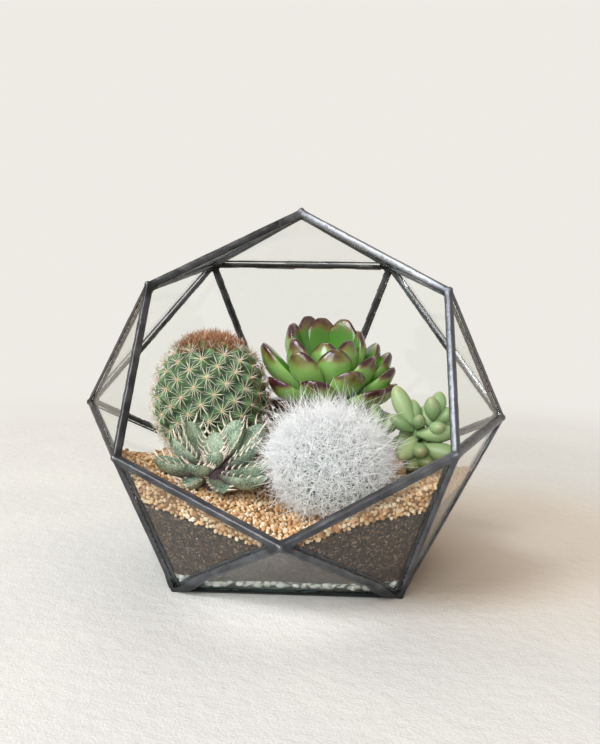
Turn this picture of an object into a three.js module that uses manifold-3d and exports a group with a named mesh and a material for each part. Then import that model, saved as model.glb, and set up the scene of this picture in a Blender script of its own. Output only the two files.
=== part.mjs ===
// A faceted glass terrarium, open at the front, planted with two cacti and three succulents.
// Millimetres, +Z up. The origin is at the bottom, in the middle of the box that holds it.
// The glass is a six-sided drum on a six-sided cone. It lies on one pane of the cone, so its mouth
// faces the front (-Y) and upwards. +X is to the right.
import * as THREE from "three";
import { mergeVertices } from "three/addons/utils/BufferGeometryUtils.js";
import Module from "manifold-3d";

const wasm = await Module();
wasm.setup();

// ---- Driving dimensions ----
const BELT_R = 103; // radius of the widest ring of corners, the belt
const MOUTH_R = 83; // radius of the ring of corners round the mouth
const BAND = 51; // from the belt to the mouth, along the axis
const CONE = 132; // from the apex to the belt, along the axis
const GLASS = 2; // thickness of a pane
const GAP = 0.3; // clearance between pieces that touch
const SOLDER = 0.5; // solder over the face of the glass
const LIFT = GAP + SOLDER; // the base pane's underside above the table
const WEB = 0.3; // half the solder left between the edges of two panes, at its thinnest
const STRIP_OUT = 2.5; // a seam's reach over each pane, outside
const STRIP_IN = 3.2; // the same inside, measured from the outer corner line
const FOOT_SHARE = 0.7; // the seam along the front of the base is this much narrower
const APEX_Y = 98.9; // the apex lies this far behind the origin
const APEX_X = 0.5;
const SIDES = 6;

// How far each hand-soldered corner is off the regular figure. Ring corners are counted from the
// one nearest the table, round to the right.
const MOUTH_OFFSETS = [[-0.5, 0, 0.5], [0, 0, 1], [0, 0, 0], [1, 0, 2], [2, 0, -0.5], [-2, 0, -5]];
const BELT_OFFSETS = [[0, 0, 0], [0, 0, 0], [-2.2, 0, 1], [1.5, 0, 0], [-1, 0, 2], [1, -2, 0]];

// ---- Materials ----
function material(color, roughness, metalness = 0) {
  return new THREE.MeshStandardMaterial({ color, roughness, metalness });
}
const patina = material(0x3b3c41, 0.45, 0.8);
const clearGlass = material(0xdfe8e4, 0.05);
clearGlass.transparent = true;
clearGlass.opacity = 0.25;
const marble = material(0xe4e8e4, 0.8);
const soilDark = material(0x3a332d, 0.95);
const gravelTan = material(0xc99a62, 0.9);
const cactusGreen = material(0x4f7d4c, 0.6);
const woolWhite = material(0xe9e9e6, 0.9);
const rosetteGreen = material(0x6f9c45, 0.4);
const jawsGreen = material(0x8fa486, 0.6);
const sedumGreen = material(0x8fb27a, 0.5);

// ---- Small tools ----
const vec = (x, y, z) => new THREE.Vector3(x, y, z);
const radians = THREE.MathUtils.degToRad;

// Random draws that are the same in every run.
function drawer(seed) {
  let state = seed;
  return () => {
    state = (state * 16807) % 2147483647;
    return state / 2147483647;
  };
}

// A three.js geometry as a solid that can be joined and cut.
function solidOf(geometry) {
  geometry.deleteAttribute("normal");
  geometry.deleteAttribute("uv");
  const merged = mergeVertices(geometry, 1e-4);
  return new wasm.Manifold(
    new wasm.Mesh({
      numProp: 3,
      vertProperties: new Float32Array(merged.attributes.position.array),
      triVerts: new Uint32Array(merged.index.array),
    }),
  );
}

// The one body of a joined solid: loose scraps are dropped and sealed hollows are filled.
function mainBody(solid) {
  return solid.decompose().reduce((best, body) => (body.volume() > best.volume() ? body : best));
}

function meshOf(name, solid, look) {
  const { vertProperties, triVerts } = mainBody(solid).getMesh();
  const geometry = new THREE.BufferGeometry();
  geometry.setAttribute("position", new THREE.BufferAttribute(vertProperties, 3));
  geometry.setIndex(new THREE.BufferAttribute(triVerts, 1));
  geometry.computeVertexNormals();
  const mesh = new THREE.Mesh(geometry, look);
  mesh.name = name;
  return mesh;
}

// Moves every vertex of a geometry by a rule that takes and gives back a point.
function reshape(geometry, rule) {
  const position = geometry.attributes.position;
  for (let i = 0; i < position.count; i++) {
    const moved = rule(vec(position.getX(i), position.getY(i), position.getZ(i)));
    position.setXYZ(i, moved.x, moved.y, moved.z);
  }
  return geometry;
}

// Cuts away all that lies behind a plane, which faces what is kept.
const CUTTER = 420;
function keepAhead(solid, point, normal) {
  const turn = new THREE.Quaternion().setFromUnitVectors(vec(0, 0, 1), normal);
  const block = new THREE.BoxGeometry(CUTTER, CUTTER, CUTTER).applyQuaternion(turn);
  const centre = point.clone().addScaledVector(normal, -CUTTER / 2);
  return solid.subtract(solidOf(block.translate(centre.x, centre.y, centre.z)));
}

// A flat outline pushed along a direction: x and y are the outline's axes in space.
function extrusion(outline, start, x, y, length) {
  const shape = new THREE.Shape(outline.map(([a, b]) => new THREE.Vector2(a, b)));
  const geometry = new THREE.ExtrudeGeometry(shape, { depth: length, bevelEnabled: false });
  const frame = new THREE.Matrix4().makeBasis(x, y, x.clone().cross(y));
  return solidOf(geometry.applyMatrix4(frame.setPosition(start)));
}

// ---- Corners ----
const BASE_RUN = BELT_R * Math.cos(radians(30)); // from the axis to the middle of a belt edge
const BASE_LENGTH = Math.hypot(CONE, BASE_RUN); // the base pane's height as a triangle

// A corner by its ring's radius, its distance from the apex along the axis and its turn round it.
function corner(radius, along, degrees, offset) {
  const down = radius * Math.cos(radians(degrees));
  const across = radius * Math.sin(radians(degrees));
  const y = -(down * BASE_RUN + along * CONE) / BASE_LENGTH;
  const z = (along * BASE_RUN - down * CONE) / BASE_LENGTH;
  return vec(APEX_X + across, APEX_Y + y, LIFT + z).add(vec(...offset));
}

const apex = corner(0, 0, 0, [0, 0, 0]);
const mouth = MOUTH_OFFSETS.map((offset, i) => corner(MOUTH_R, BAND + CONE, 60 * i, offset));
const belt = BELT_OFFSETS.map((offset, i) => corner(BELT_R, CONE, 30 + 60 * i, offset));
const inside = mouth.concat(belt, apex).reduce((sum, p) => sum.add(p), vec(0, 0, 0));
inside.divideScalar(2 * SIDES + 1);

// ---- Panes: three corners each, and the outward normal ----
function pane(name, ...corners) {
  const [a, b, c] = corners;
  const normal = b.clone().sub(a).cross(c.clone().sub(a)).normalize();
  if (normal.dot(a.clone().sub(inside)) < 0) normal.negate();
  return { name, corners, normal };
}

const panes = [];
for (let i = 0; i < SIDES; i++) {
  const next = (i + 1) % SIDES;
  const before = (i + SIDES - 1) % SIDES;
  panes.push(pane(`mouth_pane_${i + 1}`, mouth[i], mouth[next], belt[i]));
  panes.push(pane(`belt_pane_${i + 1}`, belt[before], belt[i], mouth[i]));
  const name = next === 0 ? "base_pane" : `cone_pane_${i + 1}`;
  panes.push(pane(name, apex, belt[i], belt[next]));
}

// ---- Seams: an edge between two corners, with the one or two panes that meet there ----
function seam(name, from, to) {
  const along = to.clone().sub(from).normalize();
  const sides = panes
    .filter((p) => p.corners.includes(from) && p.corners.includes(to))
    .map((p) => {
      const third = p.corners.find((c) => c !== from && c !== to);
      const inward = third.clone().sub(from);
      inward.addScaledVector(along, -inward.dot(along)).normalize();
      return { pane: p, inward };
    });
  const made = { name, from, to, along, sides };
  if (sides.length === 2) {
    made.half = sides[0].inward.angleTo(sides[1].inward) / 2;
    made.slot = (GLASS + GAP) / Math.tan(made.half) + WEB;
    made.out = sides[0].inward.clone().add(sides[1].inward).normalize().negate();
    const edgesBase = from !== apex && sides.some((side) => side.pane.name === "base_pane");
    made.stripOut = STRIP_OUT * (edgesBase ? FOOT_SHARE : 1);
    made.stripIn = STRIP_IN * (edgesBase ? FOOT_SHARE : 1);
  }
  return made;
}

const seams = [];
for (let i = 0; i < SIDES; i++) {
  const next = (i + 1) % SIDES;
  const before = (i + SIDES - 1) % SIDES;
  seams.push(seam(`mouth_seam_${i + 1}`, mouth[i], mouth[next]));
  seams.push(seam(`band_seam_${2 * i + 1}`, mouth[i], belt[before]));
  seams.push(seam(`band_seam_${2 * i + 2}`, mouth[i], belt[i]));
  seams.push(seam(`belt_seam_${i + 1}`, belt[i], belt[next]));
  seams.push(seam(`cone_seam_${i + 1}`, apex, belt[i]));
}
const edgeOf = (a, b) => seams.find((s) => [s.from, s.to].includes(a) && [s.from, s.to].includes(b));

// ---- Glass ----
// How far a pane's edge lies inside the line between two corners.
function edgeInset(a, b) {
  const { slot } = edgeOf(a, b);
  return slot ? slot + GAP : 0;
}

// The corner of a pane at v, set back from its two edges there.
function setBack(v, p, q) {
  const toP = p.clone().sub(v).normalize();
  const toQ = q.clone().sub(v).normalize();
  const sine = Math.sin(toP.angleTo(toQ));
  const fromP = edgeInset(v, p);
  const fromQ = edgeInset(v, q);
  return v.clone().addScaledVector(toQ, fromP / sine).addScaledVector(toP, fromQ / sine);
}

function glassSolid({ corners, normal }) {
  const cut = corners.map((v, i) => setBack(v, corners[(i + 1) % 3], corners[(i + 2) % 3]));
  const y = cut[1].clone().sub(cut[0]).normalize();
  const x = y.clone().cross(normal);
  const outline = cut.map((p) => p.clone().sub(cut[0])).map((p) => [p.dot(x), p.dot(y)]);
  const start = cut[0].clone().addScaledVector(normal, -GLASS);
  return extrusion(outline, start, x, y, GLASS);
}

// ---- Solder ----
const FEATHER = 0.6; // a strip thins out to its edge over this width
const CROWN = 0.2; // how far the ridge of a seam stands above its strips
const FILLET = 0.2; // the same for the bead inside
const MOUTH_CAP = LIFT + 0.3; // solder past the edge of the glass round the mouth
const MOUTH_CHAMFER = 0.6;

// Outline of a seam between two panes, in the plane across it. The second axis points outwards.
function seamOutline({ half, slot, stripOut, stripIn }) {
  const at = (a, b) => [
    a * Math.sin(half) + b * Math.cos(half),
    -a * Math.cos(half) + b * Math.sin(half),
  ];
  const right = [
    [0, at(stripIn, -GLASS - LIFT)[1] - FILLET],
    at(stripIn, -GLASS - GAP),
    at(slot, -GLASS - GAP),
    at(slot, GAP),
    at(stripOut, GAP),
    at(stripOut - FEATHER, LIFT),
    [0, LIFT / Math.sin(half) + CROWN],
  ];
  const left = right.slice(1, -1).map(([a, b]) => [-a, b]);
  return right.concat(left.reverse());
}

// Outline of the channel round the mouth: first axis into the pane, second axis outwards.
const MOUTH_OUTLINE = [
  [-MOUTH_CAP, LIFT - MOUTH_CHAMFER],
  [-MOUTH_CAP, MOUTH_CHAMFER - LIFT - GLASS],
  [MOUTH_CHAMFER - MOUTH_CAP, -LIFT - GLASS],
  [STRIP_OUT - FEATHER, -LIFT - GLASS],
  [STRIP_OUT, -GAP - GLASS],
  [-GAP, -GAP - GLASS],
  [-GAP, GAP],
  [STRIP_OUT, GAP],
  [STRIP_OUT - FEATHER, LIFT],
  [MOUTH_CHAMFER - MOUTH_CAP, LIFT],
];

const OVERRUN = 6; // a seam is made this much too long at each end, then mitred

// Pushes an outline along the whole of a seam, and a little past both ends.
function runAlong(made, outline) {
  const length = made.from.distanceTo(made.to) + 2 * OVERRUN;
  if (made.out) {
    const start = made.from.clone().addScaledVector(made.along, -OVERRUN);
    return extrusion(outline, start, made.out.clone().cross(made.along), made.out, length);
  }
  const { inward, pane: glass } = made.sides[0];
  const forward = inward.clone().cross(glass.normal).dot(made.along) > 0;
  const start = forward ? made.from.clone() : made.to.clone();
  start.addScaledVector(made.along, forward ? -OVERRUN : OVERRUN);
  return extrusion(outline, start, inward, glass.normal, length);
}

// Two seams are neighbours round a corner if they hold the same pane, or both edge the mouth.
function areNeighbours(one, other) {
  const shared = one.sides.some((side) => other.sides.some((o) => o.pane === side.pane));
  return shared || (!one.out && !other.out);
}

// Mitres a seam against its neighbours at both corners.
function mitred(made, solid) {
  let cut = solid;
  for (const v of [made.from, made.to]) {
    const away = v === made.from ? made.along : made.along.clone().negate();
    const meeting = seams.filter((s) => s !== made && (s.from === v || s.to === v));
    for (const other of meeting.filter((s) => areNeighbours(made, s))) {
      const otherAway = v === other.from ? other.along : other.along.clone().negate();
      const normal = away.clone().sub(otherAway).normalize();
      cut = keepAhead(cut, v.clone().addScaledVector(normal, GAP / 2), normal);
    }
  }
  return keepAhead(cut, vec(0, 0, 0), vec(0, 0, 1));
}

function seamSolid(made) {
  return mitred(made, runAlong(made, made.out ? seamOutline(made) : MOUTH_OUTLINE));
}

// ---- What lies in the terrarium ----
// Heights above the table. The mouth's lowest corner is at the front, and the fill rises from it
// to the back and up both sides.
const FRONT_Y = mouth[0].y;
const LOWEST = 36; // top of the gravel at the mouth's lowest corner
const BACK_RISE = 17;
const RISE_RUN = 80;
const RISE_WIDTH = 90; // the rise to the back dies out this far to each side
const LEFT_SLOPE = 0.4;
const RIGHT_SLOPE = 0.33;
const VALLEY = 12; // half width of the level strip between the two slopes
const SLOPE_END = -75; // behind this line the slopes at the sides die out
const SLOPE_RUN = 62;

const bump = (x, y, [cx, cy, rx, ry]) => Math.exp(-(((x - cx) / rx) ** 2) - ((y - cy) / ry) ** 2);
const BACK_MOUND = [5, 13, 50, 35];
const MOUND = 16; // its height
const DIP = 5; // depth of the two dips, where the plants at the front stand
const FRONT_DIP = [19, -62, 25, 25];
const LEFT_DIP = [-42, -58, 26, 22];

function gravelLevel(x, y) {
  const back = BACK_RISE * (1 - Math.exp(-Math.max(0, y - FRONT_Y) / RISE_RUN));
  const rise = back * Math.exp(-((x / RISE_WIDTH) ** 2));
  const steep = (x < 0 ? LEFT_SLOPE : RIGHT_SLOPE) * (Math.hypot(x, VALLEY) - VALLEY);
  const side = steep * Math.exp(-((Math.max(0, y - SLOPE_END) / SLOPE_RUN) ** 2));
  const dips = DIP * (bump(x, y, FRONT_DIP) + bump(x, y, LEFT_DIP));
  return LOWEST + rise + side + MOUND * bump(x, y, BACK_MOUND) - dips;
}

function soilLevel(x, y) {
  const front = x < 0 ? 29 - 0.17 * x : 36.5 + 0.05 * x;
  const level = front + 0.11 * Math.max(0, y - FRONT_Y);
  return Math.min(level, gravelLevel(x, y) - 4);
}

const stoneLevel = (x, y) => 9 + 2.2 * Math.sin(x / 6 + 0.1) * Math.cos(y / 40);

// Height of the grains on a loose surface: a hash of the place, so it is the same in every run.
function grain(x, y, size) {
  const hash = Math.sin(x * 12.9898 + y * 78.233) * 43758.5453;
  return size * (hash - Math.floor(hash) - 0.5);
}

const GROUND_W = 216;
const GROUND_D = 206;
const GROUND_BOTTOM = -20;
const FILL_TOP = 80; // no fill reaches higher than this

// All that lies under a surface, with steps of about a pitch, and a little outside the glass.
function under(level, pitch) {
  const columns = Math.round(GROUND_W / pitch);
  const rows = Math.round(GROUND_D / pitch);
  const block = new THREE.BoxGeometry(GROUND_W, GROUND_D, 2, columns, rows, 1);
  const shaped = (p) => vec(p.x, p.y, p.z > 0 ? level(p.x, p.y) : GROUND_BOTTOM);
  return solidOf(reshape(block, shaped));
}

// A seam's outline inside the glass, with clearance and no slots, for making room for it.
function beadOutline({ half, stripIn }) {
  const at = (a, b) => [
    a * Math.sin(half) + b * Math.cos(half),
    -a * Math.cos(half) + b * Math.sin(half),
  ];
  const right = [
    [0, at(stripIn, -GLASS - LIFT - GAP)[1] - FILLET],
    at(stripIn + 2 * GAP, -GLASS - GAP),
  ];
  return [...right, [0, 0], ...right.slice(1).reverse().map(([a, b]) => [-a, b])];
}

const REACH = STRIP_OUT + GAP;
const DEEP = GLASS + LIFT + GAP;
const CHANNEL_OUTLINE = [[-REACH, -DEEP], [REACH, -DEEP], [REACH, REACH], [-REACH, REACH]];

// The room inside the glass, clear of the panes and of the beads of solder.
function roomInside() {
  let room = solidOf(new THREE.BoxGeometry(GROUND_W, GROUND_D, GROUND_W));
  for (const { corners, normal } of panes) {
    const wall = corners[0].clone().addScaledVector(normal, -GLASS - GAP);
    room = keepAhead(room, wall, normal.clone().negate());
  }
  for (const made of seams) {
    if (Math.min(made.from.z, made.to.z) > FILL_TOP) continue;
    room = room.subtract(runAlong(made, made.out ? beadOutline(made) : CHANNEL_OUTLINE));
  }
  return room;
}

// ---- Plants: their feet stand in plain holes ----
// A point on a ray that leaves a plant's middle: turn is counted from the front round to the
// right, rise from level upwards.
function heading(turn, rise) {
  const level = Math.cos(radians(rise));
  const toRight = level * Math.sin(radians(turn));
  return vec(toRight, -level * Math.cos(radians(turn)), Math.sin(radians(rise)));
}

// A leaf from a unit ball whose pole is its tip. form(t) gives half its width and half its
// thickness at t from root to tip, as shares of its length, and how far it has curled up.
function leaf({ root, turn, rise, reach, around = 6, rows = 4 }, form) {
  const ball = reshape(new THREE.SphereGeometry(1, around, rows), (p) => {
    const t = (1 + p.y) / 2;
    const ring = Math.hypot(p.x, p.z) || 1;
    const { wide, thick, curl } = form(t, p.z < 0, Math.round((1 - t) * rows));
    return vec(t, (-p.x / ring) * wide, (p.z / ring) * thick + curl).multiplyScalar(reach);
  });
  ball.rotateY(-radians(rise)).rotateZ(radians(turn - 90));
  return solidOf(ball.translate(root.x, root.y, root.z));
}

// A round foot that widens upwards, and the hole that it stands in.
function foot({ x, y, bottom, top, narrow, wide }, clearance = 0) {
  const height = top - bottom + clearance;
  const cone = new THREE.CylinderGeometry(wide + clearance, narrow + clearance, height, 10);
  cone.rotateX(Math.PI / 2);
  return solidOf(cone.translate(x, y, bottom - clearance + height / 2));
}

// ---- Globe cacti: a staggered net of knobs on a ball of revolution ----
// The net's points are knobs and hollows in turn, along its rows and from row to row.
function globeNet({ x, y, equator, radius, halfHeight, bottom, columns, rows, knob, ground, seed }) {
  const draw = drawer(seed);
  const lowest = Math.asin((bottom - equator) / halfHeight);
  const net = [];
  for (let row = 0; row <= rows; row++) {
    const lift = lowest + ((row + 0.35) / (rows + 0.9)) * (Math.PI / 2 - lowest);
    const z = row === 0 ? bottom : equator + halfHeight * Math.sin(lift);
    const points = [];
    for (let column = 0; column < 2 * columns; column++) {
      const spin = (Math.PI * column) / columns;
      const normal = vec(Math.cos(spin), Math.sin(spin), (Math.tan(lift) * radius) / halfHeight);
      normal.normalize();
      const isKnob = (row + column) % 2 === 0 && z > ground;
      const sink = z > ground ? -knob / 2 : 0;
      const ring = radius * Math.cos(lift);
      const at = vec(x + ring * Math.cos(spin), y + ring * Math.sin(spin), z);
      at.addScaledVector(normal, isKnob ? knob * (0.85 + 0.3 * draw()) : sink);
      points.push({ at, normal, isKnob });
    }
    net.push(points);
  }
  return net;
}

// The spikes of a knob fan out from a small square at its tip, one over each of its four slopes.
// They are turned a little, so that they pass those of the next knobs.
function globe(size, { length, thick, lean, twist }) {
  const net = globeNet(size);
  const around = 2 * size.columns;
  const points = [vec(size.x, size.y, size.bottom)];
  points.push(vec(size.x, size.y, size.equator + size.halfHeight + size.knob));
  const index = [];
  const add = (p) => points.push(p) - 1;
  const node = (row, column) => net[row][(column + around) % around];
  for (const point of net.flat()) point.id = add(point.at);

  for (let column = 0; column < around; column++) {
    index.push(0, node(0, column + 1).id, node(0, column).id);
    const top = node(size.rows, column);
    const next = node(size.rows, column + 1);
    index.push(1, top.id, next.id);
  }
  // A knob with all four neighbours carries spikes; its slopes then end at the square.
  const tipOf = (knob, toward) => {
    const step = toward.at.clone().sub(knob.at).setLength(thick);
    return add(knob.at.clone().add(step));
  };
  for (let row = 1; row < size.rows; row++) {
    for (let column = 0; column < around; column++) {
      const knob = node(row, column);
      if (!knob.isKnob) continue;
      const neighbours = [node(row, column + 1), node(row + 1, column)];
      neighbours.push(node(row, column - 1), node(row - 1, column));
      knob.square = new Map(neighbours.map((n) => [n, tipOf(knob, n)]));
      neighbours.forEach((n, i) => {
        const m = neighbours[(i + 1) % 4];
        const outward = n.at.clone().add(m.at).addScaledVector(knob.at, -2).normalize();
        outward.applyAxisAngle(knob.normal, twist).addScaledVector(knob.normal, lean).normalize();
        const tip = knob.at.clone().addScaledVector(outward, length);
        tip.z = Math.max(tip.z, gravelLevel(tip.x, tip.y) + CLEAR);
        const end = add(tip);
        const [from, to] = [knob.square.get(n), knob.square.get(m)];
        index.push(knob.id, from, end, from, to, end, to, knob.id, end);
      });
    }
  }
  // Each cell of the net has two slopes, which meet along the line between its two hollows.
  const slope = (a, b, c) => {
    if (a.square) index.push(a.square.get(b), b.id, c.id, a.square.get(b), c.id, a.square.get(c));
    else index.push(a.id, b.id, c.id);
  };
  for (let row = 0; row < size.rows; row++) {
    for (let column = 0; column < around; column++) {
      const cell = [node(row, column), node(row, column + 1)];
      cell.push(node(row + 1, column + 1), node(row + 1, column));
      const [a, b, c, d] = (row + column) % 2 === 0 ? cell : [...cell.slice(1), cell[0]];
      slope(a, b, d);
      slope(c, d, b);
    }
  }
  const geometry = new THREE.BufferGeometry().setFromPoints(points);
  geometry.setIndex(index);
  return solidOf(geometry);
}

const CLEAR = 1.5; // spikes and leaves keep this far above the gravel
const SPINY = {
  x: -41.5,
  y: -13,
  equator: 80,
  radius: 26,
  halfHeight: 30,
  bottom: 51,
  columns: 15,
  rows: 10,
  knob: 1.5,
  ground: 57,
  seed: 11,
};
const SPINES = { length: 6, thick: 0.7, lean: 0.9, twist: 0.3 };

const WOOLLY = {
  x: 18.5,
  y: -59.5,
  equator: 60,
  radius: 23,
  halfHeight: 21,
  bottom: 40.5,
  columns: 12,
  rows: 10,
  knob: 1.5,
  ground: 44.5,
  seed: 5,
};
const TUFTS = { length: 4.5, thick: 1.2, lean: 1.2, twist: 0.5 };

// ---- Rosette: thick pointed leaves in rings round a short stem ----
const ROSETTE = { x: 17.5, y: 0, z: 80 };
const ROSETTE_CORE = 8;
const ROSETTE_FOOT = { x: 17.5, y: 0, bottom: 54, top: 74, narrow: 4, wide: 5 };
// turn, rise and reach of each leaf, from the heart outwards
const ROSETTE_LEAVES = [
  [-139, 65, 43], [-160, 69, 41], [149, 72, 40], [-30, 80, 28], [-108, 61, 41],
  [11, 61, 29], [53, 70, 31], [-61, 56, 36], [116, 66, 36], [-38, 45, 35],
  [25, 32, 31], [60, 44, 32], [110, 48, 36], [-87, 39, 42], [98, 38, 37],
  [82, 28, 35], [-16, 23, 31], [180, 52, 36], [-135, 42, 36], [140, 40, 35],
  [-60, 20, 34], [50, 14, 33], [160, 26, 33], [-155, 24, 33], [76, 15, 34],
  [118, 15, 33],
];
// withered leaves that hang below the others
const DRY_LEAVES = [
  [-105, -5, 33], [-86, -14, 28], [-62, -26, 30], [60, -20, 30], [90, -14, 33],
];

// All the leaves of the rosette are about as wide, whatever their length.
function rosetteForm(reach) {
  return (t, below) => {
    const swell = Math.sin(Math.PI * t ** 2.1) ** 0.5;
    const thick = below ? 0.02 + 0.15 * swell : 0.01 + 0.05 * swell;
    return { wide: 0.02 + (7.6 / reach) * swell, thick, curl: 0.3 * (t * t - t) };
  };
}

function dryForm(reach) {
  return (t, below) => {
    const swell = Math.sin(Math.PI * t ** 1.5) ** 0.7;
    const thick = below ? 0.01 + 0.08 * swell : 0.01 + 0.03 * swell;
    return { wide: 0.02 + (5.5 / reach) * swell, thick, curl: 0.2 * (t * t - t) };
  };
}

function rosette() {
  const core = new THREE.SphereGeometry(ROSETTE_CORE, 8, 6).translate(ROSETTE.x, ROSETTE.y, ROSETTE.z - 3);
  const root = vec(ROSETTE.x, ROSETTE.y, ROSETTE.z);
  let plant = solidOf(core).add(foot(ROSETTE_FOOT));
  for (const [turn, rise, reach] of ROSETTE_LEAVES) {
    plant = plant.add(leaf({ root, turn, rise, reach }, rosetteForm(reach)));
  }
  for (const [turn, rise, reach] of DRY_LEAVES) {
    plant = plant.add(leaf({ root, turn, rise, reach }, dryForm(reach)));
  }
  return plant;
}

// ---- Toothed succulent: keeled leaves in crossed pairs ----
const JAWS = { x: -34.5, y: -54, z: 54 };
const JAWS_FOOT = { x: -34.5, y: -54, bottom: 40, top: 54, narrow: 4, wide: 7 };
const JAWS_LEAVES = [
  [-74, 42, 24], [138, 53, 27], [-122, 54, 26], [119, 38, 32], [105, 30, 25], [77, 10, 27],
  [62, 1, 29], [-82, 13, 27], [-20, 20, 19], [175, 68, 18], [20, 48, 15],
];
const JAWS_ROWS = 10;
const TOOTH = 0.09; // a tooth's height as a share of the leaf's length

function jawsForm(t, below, row) {
  const swell = Math.sin(Math.PI * t ** 1.05) ** 0.55;
  const tooth = row % 2 === 1 && row < JAWS_ROWS - 3 ? TOOTH : 0;
  return { wide: 0.26 * swell + tooth, thick: (below ? 0.15 : 0.03) * swell, curl: 0.2 * (t * t - t) };
}

function toothedSucculent() {
  const root = vec(JAWS.x, JAWS.y, JAWS.z);
  return JAWS_LEAVES.reduce((plant, [turn, rise, reach]) => {
    return plant.add(leaf({ root, turn, rise, reach, rows: JAWS_ROWS }, jawsForm));
  }, foot(JAWS_FOOT));
}

// ---- Bead-leaved succulent: fat leaves up three short stems from one foot ----
const SEDUM_FOOT = { x: 57, y: -48, bottom: 46, top: 65, narrow: 3, wide: 4 };
// Each stem's tip, and its leaves: how far up the stem, then turn, rise and reach.
const SEDUM_STEMS = [
  {
    tip: [57, -50, 76],
    leaves: [
      [1, -113, 60, 21], [1, -160, 68, 13], [1, 20, 52, 8], [0.9, -90, 30, 13], [0.8, 75, 9, 18],
      [0.7, -30, -25, 17], [0.5, 170, 30, 15], [0.35, 8, 2, 14], [0.3, -150, 30, 12], [0.3, 62, 0, 21],
      [0.1, -12, -18, 14], [0.1, 130, 20, 15], [0.02, 25, -5, 14],
    ],
  },
  {
    tip: [65, -49, 79],
    leaves: [
      [1, 146, 67, 14], [1, -30, 75, 12], [0.95, 90, 37, 12], [0.85, 12, 10, 11], [0.8, -150, 50, 12],
      [0.7, 165, 32, 14], [0.6, 110, 20, 13],
    ],
  },
  {
    tip: [43, -43, 73],
    leaves: [
      [1, -134, 61, 13], [0.9, 40, 48, 10], [0.9, -95, 60, 12], [0.8, 160, 37, 13], [0.65, -150, 20, 11],
      [0.5, 60, 20, 10],
    ],
  },
];
const STEM_RADIUS = 1.6;

// Short leaves are the fatter ones for their length.
function beadForm(reach) {
  const girth = 2.2 / reach + 0.12;
  return (t) => {
    const swell = Math.sin(Math.PI * t ** 1.2) ** 0.75;
    return { wide: 0.02 + girth * swell, thick: 0.02 + 0.88 * girth * swell, curl: 0.08 * (t * t - t) };
  };
}

function beadSucculent() {
  const base = vec(SEDUM_FOOT.x, SEDUM_FOOT.y, SEDUM_FOOT.top - STEM_RADIUS);
  let plant = foot(SEDUM_FOOT);
  for (const { tip, leaves } of SEDUM_STEMS) {
    const end = vec(...tip);
    const bend = vec(end.x, end.y, (base.z + end.z) / 2 - 1);
    const path = new THREE.QuadraticBezierCurve3(base, bend, end);
    const circle = new THREE.Shape().absarc(0, 0, STEM_RADIUS, 0, 2 * Math.PI);
    const stem = { extrudePath: path, steps: 4, curveSegments: 3, bevelEnabled: false };
    plant = plant.add(solidOf(new THREE.ExtrudeGeometry(circle, stem)));
    for (const [up, turn, rise, reach] of leaves) {
      plant = plant.add(leaf({ root: path.getPoint(up), turn, rise, reach }, beadForm(reach)));
    }
  }
  return plant;
}

// ---- The fill, in three layers round the plants' feet ----
const holes = [
  foot({ x: SPINY.x, y: SPINY.y, bottom: SPINY.bottom - GAP, top: 74, narrow: 15, wide: 37 }),
  foot({ x: WOOLLY.x, y: WOOLLY.y, bottom: WOOLLY.bottom - GAP, top: 52, narrow: 14, wide: 33 }),
  foot(ROSETTE_FOOT, GAP),
  foot(JAWS_FOOT, GAP),
  foot(SEDUM_FOOT, GAP),
];
const dug = (solid) => holes.reduce((left, hole) => left.subtract(hole), solid);
const room = roomInside();
const STONE_PITCH = 10;
const SOIL_PITCH = 20;
const GRAVEL_PITCH = 9.7;

const layers = {
  drainage_stones: under((x, y) => stoneLevel(x, y) + grain(x, y, 2), STONE_PITCH).intersect(room),
  soil: under(soilLevel, SOIL_PITCH)
    .intersect(room)
    .subtract(under((x, y) => stoneLevel(x, y) + grain(x, y, 2) + GAP, STONE_PITCH)),
  gravel: under((x, y) => gravelLevel(x, y) + grain(x, y, 1.4), GRAVEL_PITCH)
    .intersect(room)
    .subtract(under((x, y) => soilLevel(x, y) + GAP, SOIL_PITCH)),
};

// ---- The terrarium ----
function groupOf(meshes) {
  const group = new THREE.Group();
  group.add(...meshes);
  return group;
}

const terrarium = groupOf([
  groupOf(seams.map((made) => meshOf(made.name, seamSolid(made), patina))),
  groupOf(panes.map((made) => meshOf(made.name, glassSolid(made), clearGlass))),
  groupOf([
    meshOf("drainage_stones", layers.drainage_stones, marble),
    meshOf("soil", dug(layers.soil), soilDark),
    meshOf("gravel", dug(layers.gravel), gravelTan),
  ]),
  groupOf([
    meshOf("spiny_cactus", globe(SPINY, SPINES), cactusGreen),
    meshOf("woolly_cactus", globe(WOOLLY, TUFTS), woolWhite),
    meshOf("rosette_succulent", rosette(), rosetteGreen),
    meshOf("toothed_succulent", toothedSucculent(), jawsGreen),
    meshOf("bead_succulent", beadSucculent(), sedumGreen),
  ]),
]);

export default terrarium;
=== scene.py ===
# %% [markdown]
# # A planted glass terrarium
#
# The object is a faceted glass case, held together by dark solder, that lies on one of its sides.
# Dark soil, tan grit and white stones fill its foot, and two cacti and three succulents grow in it.
#
# The solids of the part are loaded first and never moved. They say where each piece goes. The glass
# keeps its solids and only gets a material. Solder, fill and plants are modelled again, finer, in
# the same places, and each new piece then stands for its solid.

import math

import bpy
import numpy as np
from mathutils import Matrix, Vector


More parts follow.
